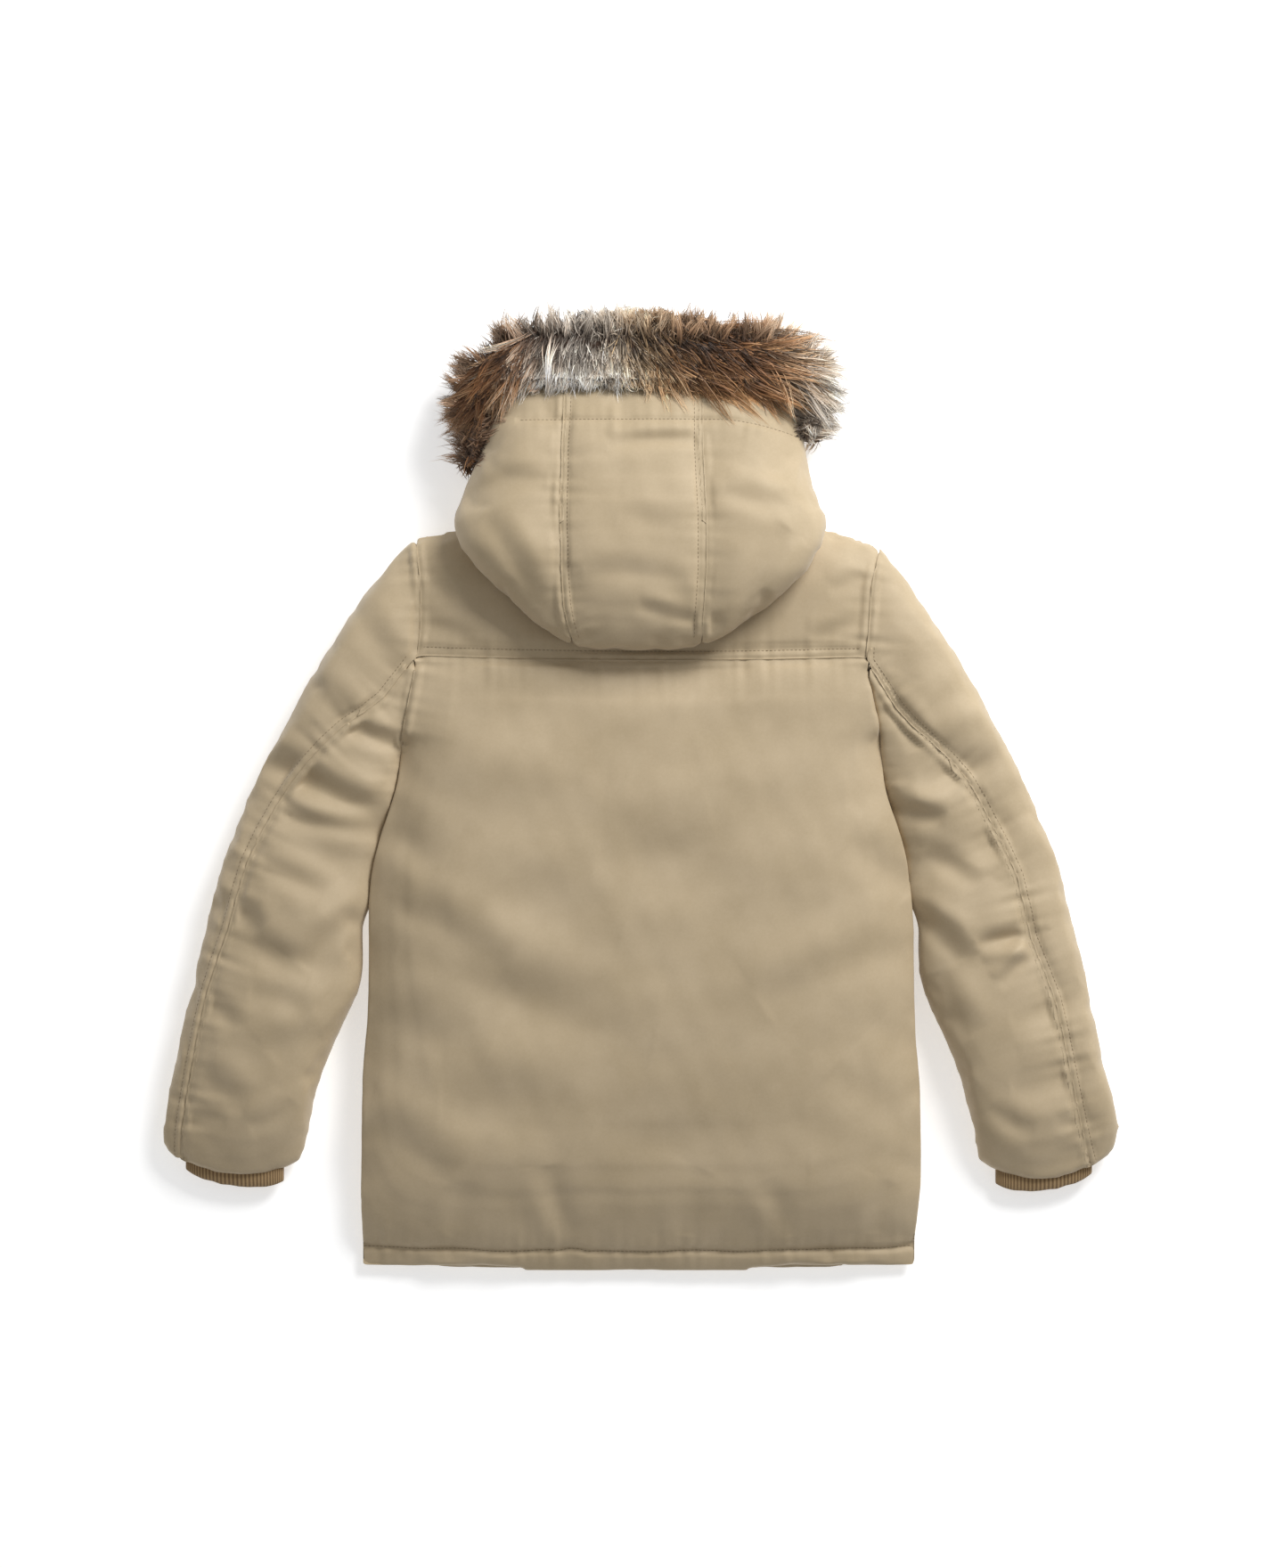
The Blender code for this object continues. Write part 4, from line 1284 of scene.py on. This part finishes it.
@dataclass
class FurTrim:
    """Long haired trim round the hood's mouth: a dark pelt, short underfur and clumped guard hair."""

    seed: int = 20
    levels: int = 5
    inset: float = 11.0
    hood: tuple[PaddedPiece, ...] = ()
    coats: tuple[CoatKind, ...] = (
        CoatKind("fur_underfur", 9000, 1, 0.5, 1.0, 0.6, 0.0, 0.9),
        CoatKind("fur_guard_hair", 1050, 20, 1.0, 0.75, 3.2, 0.80, 1.6),
    )

    def build(self) -> None:
        """Make the pelt and every coat of hair."""
        self.random = np.random.default_rng(self.seed)
        self.places = np.array([row.x for row in COAT]) * MM
        self.colours = {name: np.array([srgb(getattr(row, name))[:3] for row in COAT])
                        for name in ("root", "mid", "tip")}
        depsgraph = bpy.context.evaluated_depsgraph_get()
        self.trees = [BVHTree.FromObject(piece.obj, depsgraph) for piece in self.hood]
        pelt = self.build_pelt()
        self.trees.append(BVHTree.FromObject(pelt, bpy.context.evaluated_depsgraph_get()))
        hair = HairFinish().material()
        for kind in self.coats:
            hand_over(self.coat(pelt, kind), hair)

    def across(self, column: str, x: np.ndarray) -> np.ndarray:
        """A column of the coat table at places across the trim."""
        return np.interp(x, self.places, np.array([getattr(row, column) for row in COAT], dtype=float))

    def build_pelt(self) -> Object:
        """The skin with its dense underfur: the CAD solid drawn in under the hair.

        Returns:
            The pelt.
        """
        obj = bpy.data.objects.new("fur_pelt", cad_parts["fur_trim"].data.copy())
        bpy.context.scene.collection.objects.link(obj)
        apply_modifier(obj, "WELD", merge_threshold=0.00001)
        apply_modifier(obj, "REMESH", mode="VOXEL", voxel_size=5 * MM, use_smooth_shade=True)
        even_out(obj, 4)
        points = points_of(obj)
        lumps = wander(points[:, 0] + points[:, 1], 1.0, (19.0, 31.0)) * wander(points[:, 2], 2.0, (23.0, 37.0))
        inward = np.where(points[:, 1] < 300 * MM, 0.5, 1.0)[:, None]
        points += normals_of(obj) * ((1.5 * lumps[:, None] - self.inset * inward) * MM)
        points[:, 2] = np.maximum(points[:, 2], 1.0 * MM)
        set_points(obj, points)
        hand_over(obj, PeltFinish().material(), ("fur_trim",))
        return obj

    def roots(self, pelt: Object, count: int) -> tuple[np.ndarray, np.ndarray]:
        """Spread roots over the pelt by area, leaving out its underside.

        Args:
            pelt: the pelt.
            count: number of roots.

        Returns:
            Places and outward normals.
        """
        mesh = pelt.data
        corner = np.empty(len(mesh.polygons) * 3)
        mesh.polygons.foreach_get("center", corner)
        normal = np.empty(len(mesh.polygons) * 3)
        mesh.polygons.foreach_get("normal", normal)
        area = np.empty(len(mesh.polygons))
        mesh.polygons.foreach_get("area", area)
        corner, normal = corner.reshape(-1, 3), normal.reshape(-1, 3)
        keep = area * np.where(normal[:, 2] > -0.25, 1.0, 0.0) * np.where(normal[:, 2] > 0.2, 1.5, 1.0)
        # the pelt's front wall is left bare, so that its painted-dark underfur shows as a line of painted shade beneath
        # the hair
        wall = (normal[:, 2] < 0.25) & (normal[:, 1] < -0.1) & (np.abs(corner[:, 0]) < 120 * MM)
        keep[wall] = 0.0
        below = corner[:, 1] < self.across("low", corner[:, 0]) * MM + 2 * MM
        keep[below & (np.abs(corner[:, 0]) < 126 * MM)] = 0.0
        chosen = self.random.choice(len(area), size=count, p=keep / keep.sum())
        jitter = self.random.normal(size=(count, 3)) * 1.4 * MM
        return corner[chosen] + jitter, normal[chosen]

    def middles(self, pelt: Object, kind: CoatKind) -> tuple[np.ndarray, np.ndarray]:
        """Middle curves of the locks.

        Args:
            pelt: the pelt.
            kind: the coat.

        Returns:
            Array of lock, level and x, y, z; and how far each lies on the back coat, 0 to 1.
        """
        rand = self.random
        root, normal = self.roots(pelt, kind.locks)
        count = len(root)
        back = np.clip((normal[:, 2] - 0.12) / 0.45, 0.0, 1.0)
        high = self.across("high", root[:, 0]) * MM
        low = self.across("low", root[:, 0]) * MM + 2.5 * MM * wander(root[:, 0], 1.0, (17.0, 29.0, 43.0))
        crest = np.clip((root[:, 1] - (high - 26 * MM)) / (12 * MM), 0.0, 1.0) * (rand.random(count) < 0.6)
        back = np.where(back * (1.0 - crest) > 0.5, 1.0, 0.0)
        heading = np.radians(self.across("heading", root[:, 0]) + rand.normal(size=count) * 10.0)
        flow = np.stack([np.cos(heading), np.sin(heading), np.zeros(count)], axis=1)
        outward = normal * np.array([1.0, 1.0, 0.0])
        outward += np.stack([root[:, 0] * 3.0, np.full(count, 0.6), np.zeros(count)], axis=1)
        outward += rand.normal(size=(count, 3)) * np.array([0.26, 0.15, 0.1])
        outward /= np.linalg.norm(outward, axis=1, keepdims=True) + 1e-9
        start = flow * back[:, None] + outward * (1.0 - back[:, None])
        start += normal * (0.42 + 0.12 * rand.normal(size=count))[:, None]
        start /= np.linalg.norm(start, axis=1, keepdims=True)
        length = self.across("length", root[:, 0]) * MM * (0.85 + 0.3 * rand.random(count))
        ahead = np.maximum(-np.sin(heading), 0.35)
        room = (root[:, 1] - low) / ahead + (rand.random(count) * 14.0 - 3.0) * MM
        straggler = (rand.random(count) < 0.10) & (root[:, 0] > 10 * MM) & (root[:, 0] < 120 * MM)
        room += np.where(straggler, 24 * MM, 0.0)
        length = np.where(back > 0.5, np.clip(room, 9 * MM, length), length)
        outer = np.clip(high - root[:, 1] + (rand.random(count) * 20.0 - 7.0) * MM, 8 * MM, 27 * MM)
        length = np.where(back <= 0.5, outer, length) * kind.length
        droop = (0.85 + 0.35 * rand.random(count))[:, None]
        bend = rand.normal(size=(count, 1)) * 0.28
        places = [root]
        for level in range(1, self.levels):
            part = level / (self.levels - 1)
            turned = start - np.array([0.0, 0.0, 1.0]) * droop * part * (0.35 + 0.65 * back[:, None])
            turned[:, 0] -= bend[:, 0] * part * start[:, 1]
            turned[:, 1] += bend[:, 0] * part * start[:, 0]
            turned /= np.linalg.norm(turned, axis=1, keepdims=True)
            places.append(places[-1] + turned * (length / (self.levels - 1))[:, None])
        return np.stack(places, axis=1), back

    def coat(self, pelt: Object, kind: CoatKind) -> Object:
        """One coat of hair as a joined mesh of tapered ribbons.

        Args:
            pelt: the pelt.
            kind: the coat.

        Returns:
            The coat.
        """
        rand = self.random
        middle, back = self.middles(pelt, kind)
        count = kind.locks * kind.hairs
        owner = np.repeat(np.arange(kind.locks), kind.hairs)
        stretch = np.clip(1.0 + 0.16 * rand.normal(size=count), 0.5, 1.25)
        root = middle[owner, :1, :]
        paths = root + (middle[owner] - root) * stretch[:, None, None]
        along = np.linspace(0.0, 1.0, self.levels)
        spread = rand.normal(size=(count, 3)) * np.array([1.0, 1.0, 0.6]) * kind.spread * MM
        paths += spread[:, None, :] * (1.0 - kind.gather * along ** 1.2)[None, :, None]
        paths += rand.normal(size=(count, 1, 3)) * 1.1 * MM * np.sin(along * math.pi)[None, :, None]
        loose = rand.normal(size=(count, 3)) * (1.3 + 5.0 * (rand.random((count, 1)) < 0.06)) * MM
        paths += loose[:, None, :] * (along ** 2)[None, :, None]
        self.rest_on_hood(paths)
        paths[:, :, 2] = np.maximum(paths[:, :, 2], 1.0 * MM)
        tone = kind.shade * (0.36 + 1.06 * rand.random(kind.locks))[owner] * (0.85 + 0.3 * rand.random(count))
        return self.ribbons(kind, paths, back[owner], tone)

    def rest_on_hood(self, paths: np.ndarray) -> None:
        """Lift hair that would sink into the hood's brim or the pelt beside it.

        Args:
            paths: hair, level and x, y, z, changed in place.
        """
        down = Vector((0.0, 0.0, -1.0))
        for hair, level in np.argwhere(paths[:, :, 1] < 386 * MM):
            x, y, z = paths[hair, level]
            for tree in self.trees:
                hit = tree.ray_cast(Vector((x, y, 0.2)), down)[0]
                if hit is not None and hit.z > 40 * MM and hit.z - 25 * MM < z < hit.z + 1.5 * MM:
                    z = hit.z + 1.5 * MM
            paths[hair, level, 2] = z
        over = (np.abs(paths[:, 0, 0]) < 125 * MM) & (paths[:, -1, 1] < 386 * MM) & (paths[:, 0, 2] > 40 * MM)
        for level in range(1, paths.shape[1]):
            run = np.hypot(*(paths[:, level, :2] - paths[:, level - 1, :2]).T)
            draped = paths[:, level - 1, 2] - 0.4 * run
            paths[over, level, 2] = np.maximum(paths[over, level, 2], draped[over])

    def ribbons(self, kind: CoatKind, paths: np.ndarray, back: np.ndarray, tone: np.ndarray) -> Object:
        """Turn hair curves to tapered ribbons with their colours.

        Args:
            kind: the coat.
            paths: hair, level and x, y, z.
            back: how far each hair lies on the back coat.
            tone: brightness of each hair.

        Returns:
            The joined mesh.
        """
        count, levels, _ = paths.shape
        direction = paths[:, -1] - paths[:, 0]
        facing = np.array([0.0, 0.0, 1.0]) + 0.45 * self.random.normal(size=(count, 3))
        across = np.cross(direction, facing)
        across /= np.linalg.norm(across, axis=1, keepdims=True) + 1e-12
        taper = np.array([0.75, 1.0, 0.85, 0.55, 0.0])
        half = kind.width * MM / 2 * (0.7 + 0.6 * self.random.random(count))
        offset = across[:, None, :] * (half[:, None] * taper[None, :])[:, :, None]
        block = np.concatenate([(paths + offset)[:, :-1], (paths - offset)[:, :-1], paths[:, -1:]], axis=1)
        rows = levels - 1
        base = np.arange(count)[:, None] * block.shape[1]
        quads = np.concatenate([base + np.array((k, rows + k, rows + k + 1, k + 1)) for k in range(rows - 1)])
        tips = base + np.array([rows - 1, 2 * rows - 1, 2 * rows])
        mesh = bpy.data.meshes.new(kind.name)
        mesh.vertices.add(count * block.shape[1])
        mesh.vertices.foreach_set("co", block.reshape(-1))
        loops = np.concatenate([quads.reshape(-1), tips.reshape(-1)])
        mesh.loops.add(len(loops))
        mesh.loops.foreach_set("vertex_index", loops.astype(np.int32))
        starts = np.concatenate([np.arange(len(quads)) * 4, len(quads) * 4 + np.arange(count) * 3])
        mesh.polygons.add(len(starts))
        mesh.polygons.foreach_set("loop_start", starts.astype(np.int32))
        mesh.update(calc_edges=True)
        mesh.validate()
        mesh.shade_smooth()
        along = np.linspace(0.0, 1.0, levels)
        order = np.concatenate([along[:-1], along[:-1], along[-1:]])
        self.paint(mesh, paths[:, 0, 0], back, tone, order)
        obj = bpy.data.objects.new(kind.name, mesh)
        bpy.context.scene.collection.objects.link(obj)
        return obj

    def paint(self, mesh: bpy.types.Mesh, x: np.ndarray, back: np.ndarray, tone: np.ndarray,
              order: np.ndarray) -> None:
        """Colour each hair from root to tip.

        Args:
            mesh: joined ribbons.
            x: root of each hair across the trim.
            back: how far each hair lies on the back coat.
            tone: brightness of each hair.
            order: place of each of a ribbon's corners along the hair.
        """
        count = len(x)
        noisy = x + 7 * MM * self.random.normal(size=count)
        colour = {name: np.stack([np.interp(noisy, self.places, table[:, k]) for k in range(3)], axis=1)
                  for name, table in self.colours.items()}
        outer = (1.0 - back)[:, None] * 0.45
        colour["mid"] = colour["mid"] * (1 - outer) + np.array(srgb(OUTER_MID)[:3]) * outer
        colour["tip"] = colour["tip"] * (1 - outer) + np.array(srgb(OUTER_TIP)[:3]) * outer
        low = np.clip(order / 0.4, 0.0, 1.0)[None, :, None]
        high = np.clip((order - 0.4) / 0.6, 0.0, 1.0)[None, :, None]
        value = colour["root"][:, None] * (1 - low) + colour["mid"][:, None] * low
        value = (value * (1 - high) + colour["tip"][:, None] * high) * tone[:, None, None]
        rgba = np.ones((count * len(order), 4), dtype=np.float32)
        rgba[:, :3] = np.clip(value.reshape(-1, 3), 0.0, 1.0)
        layer = mesh.attributes.new(HairFinish().attribute, "FLOAT_COLOR", "POINT")
        layer.data.foreach_set("color", rgba.reshape(-1))


# ---- Studio ----------------------------------------------------------------------------------------

@dataclass
class Studio:
    """Pale floor, soft light from the upper right and a camera straight above."""

    lens: float = 85.0
    sensor: float = 36.0
    view_height: float = 1.408
    target: tuple[float, float, float] = (0.0, 0.004, 0.03)
    floor_half: float = 40.0

    def build(self) -> None:
        """Make the floor, lights, world and camera."""
        bpy.ops.mesh.primitive_plane_add(size=2 * self.floor_half, location=(0.0, 0.0, 0.0))
        floor = bpy.context.object
        floor.name = "floor"
        floor.data.materials.append(PaperFinish().material())
        self.light("key_light", (1.40, 2.05, 1.72), 1.2, 86.0)
        world = bpy.data.worlds.new("soft_room")
        bpy.context.scene.world = world
        world.use_nodes = True
        world.node_tree.nodes["Background"].inputs["Color"].default_value = srgb("#FFFFFF")
        world.node_tree.nodes["Background"].inputs["Strength"].default_value = 0.38
        bpy.context.scene.view_settings.view_transform = "Standard"
        data = bpy.data.cameras.new("camera")
        data.lens = self.lens
        data.sensor_width = self.sensor
        camera = bpy.data.objects.new("camera", data)
        bpy.context.scene.collection.objects.link(camera)
        distance = self.view_height * self.lens / self.sensor
        camera.location = Vector(self.target) + Vector((0.0, 0.0, distance))
        bpy.context.scene.camera = camera

    def light(self, name: str, place: tuple[float, float, float], size: float, power: float) -> None:
        """Add one square area light that points at the garment.

        Args:
            name: name of the light.
            place: where it stands.
            size: its side in metres.
            power: in watts.
        """
        data = bpy.data.lights.new(name, "AREA")
        data.size = size
        data.energy = power
        lamp = bpy.data.objects.new(name, data)
        bpy.context.scene.collection.objects.link(lamp)
        lamp.location = place
        lamp.rotation_euler = (Vector(self.target) - Vector(place)).to_track_quat("-Z", "Y").to_euler()


def main() -> None:
    """Build the looks of the garment in order."""
    logging.basicConfig(level=logging.INFO, format="%(name)s %(message)s")
    Studio().build()
    pieces, seams = Shell().build()
    Topstitching(pieces=tuple(pieces)).build(seams)
    rib = RibFinish().material()
    for side in ("left", "right"):
        RibCuff(side).build(rib)
    FurTrim(hood=tuple(piece for piece in pieces if piece.node.startswith("hood"))).build()


if __name__ == "__main__":
    main()
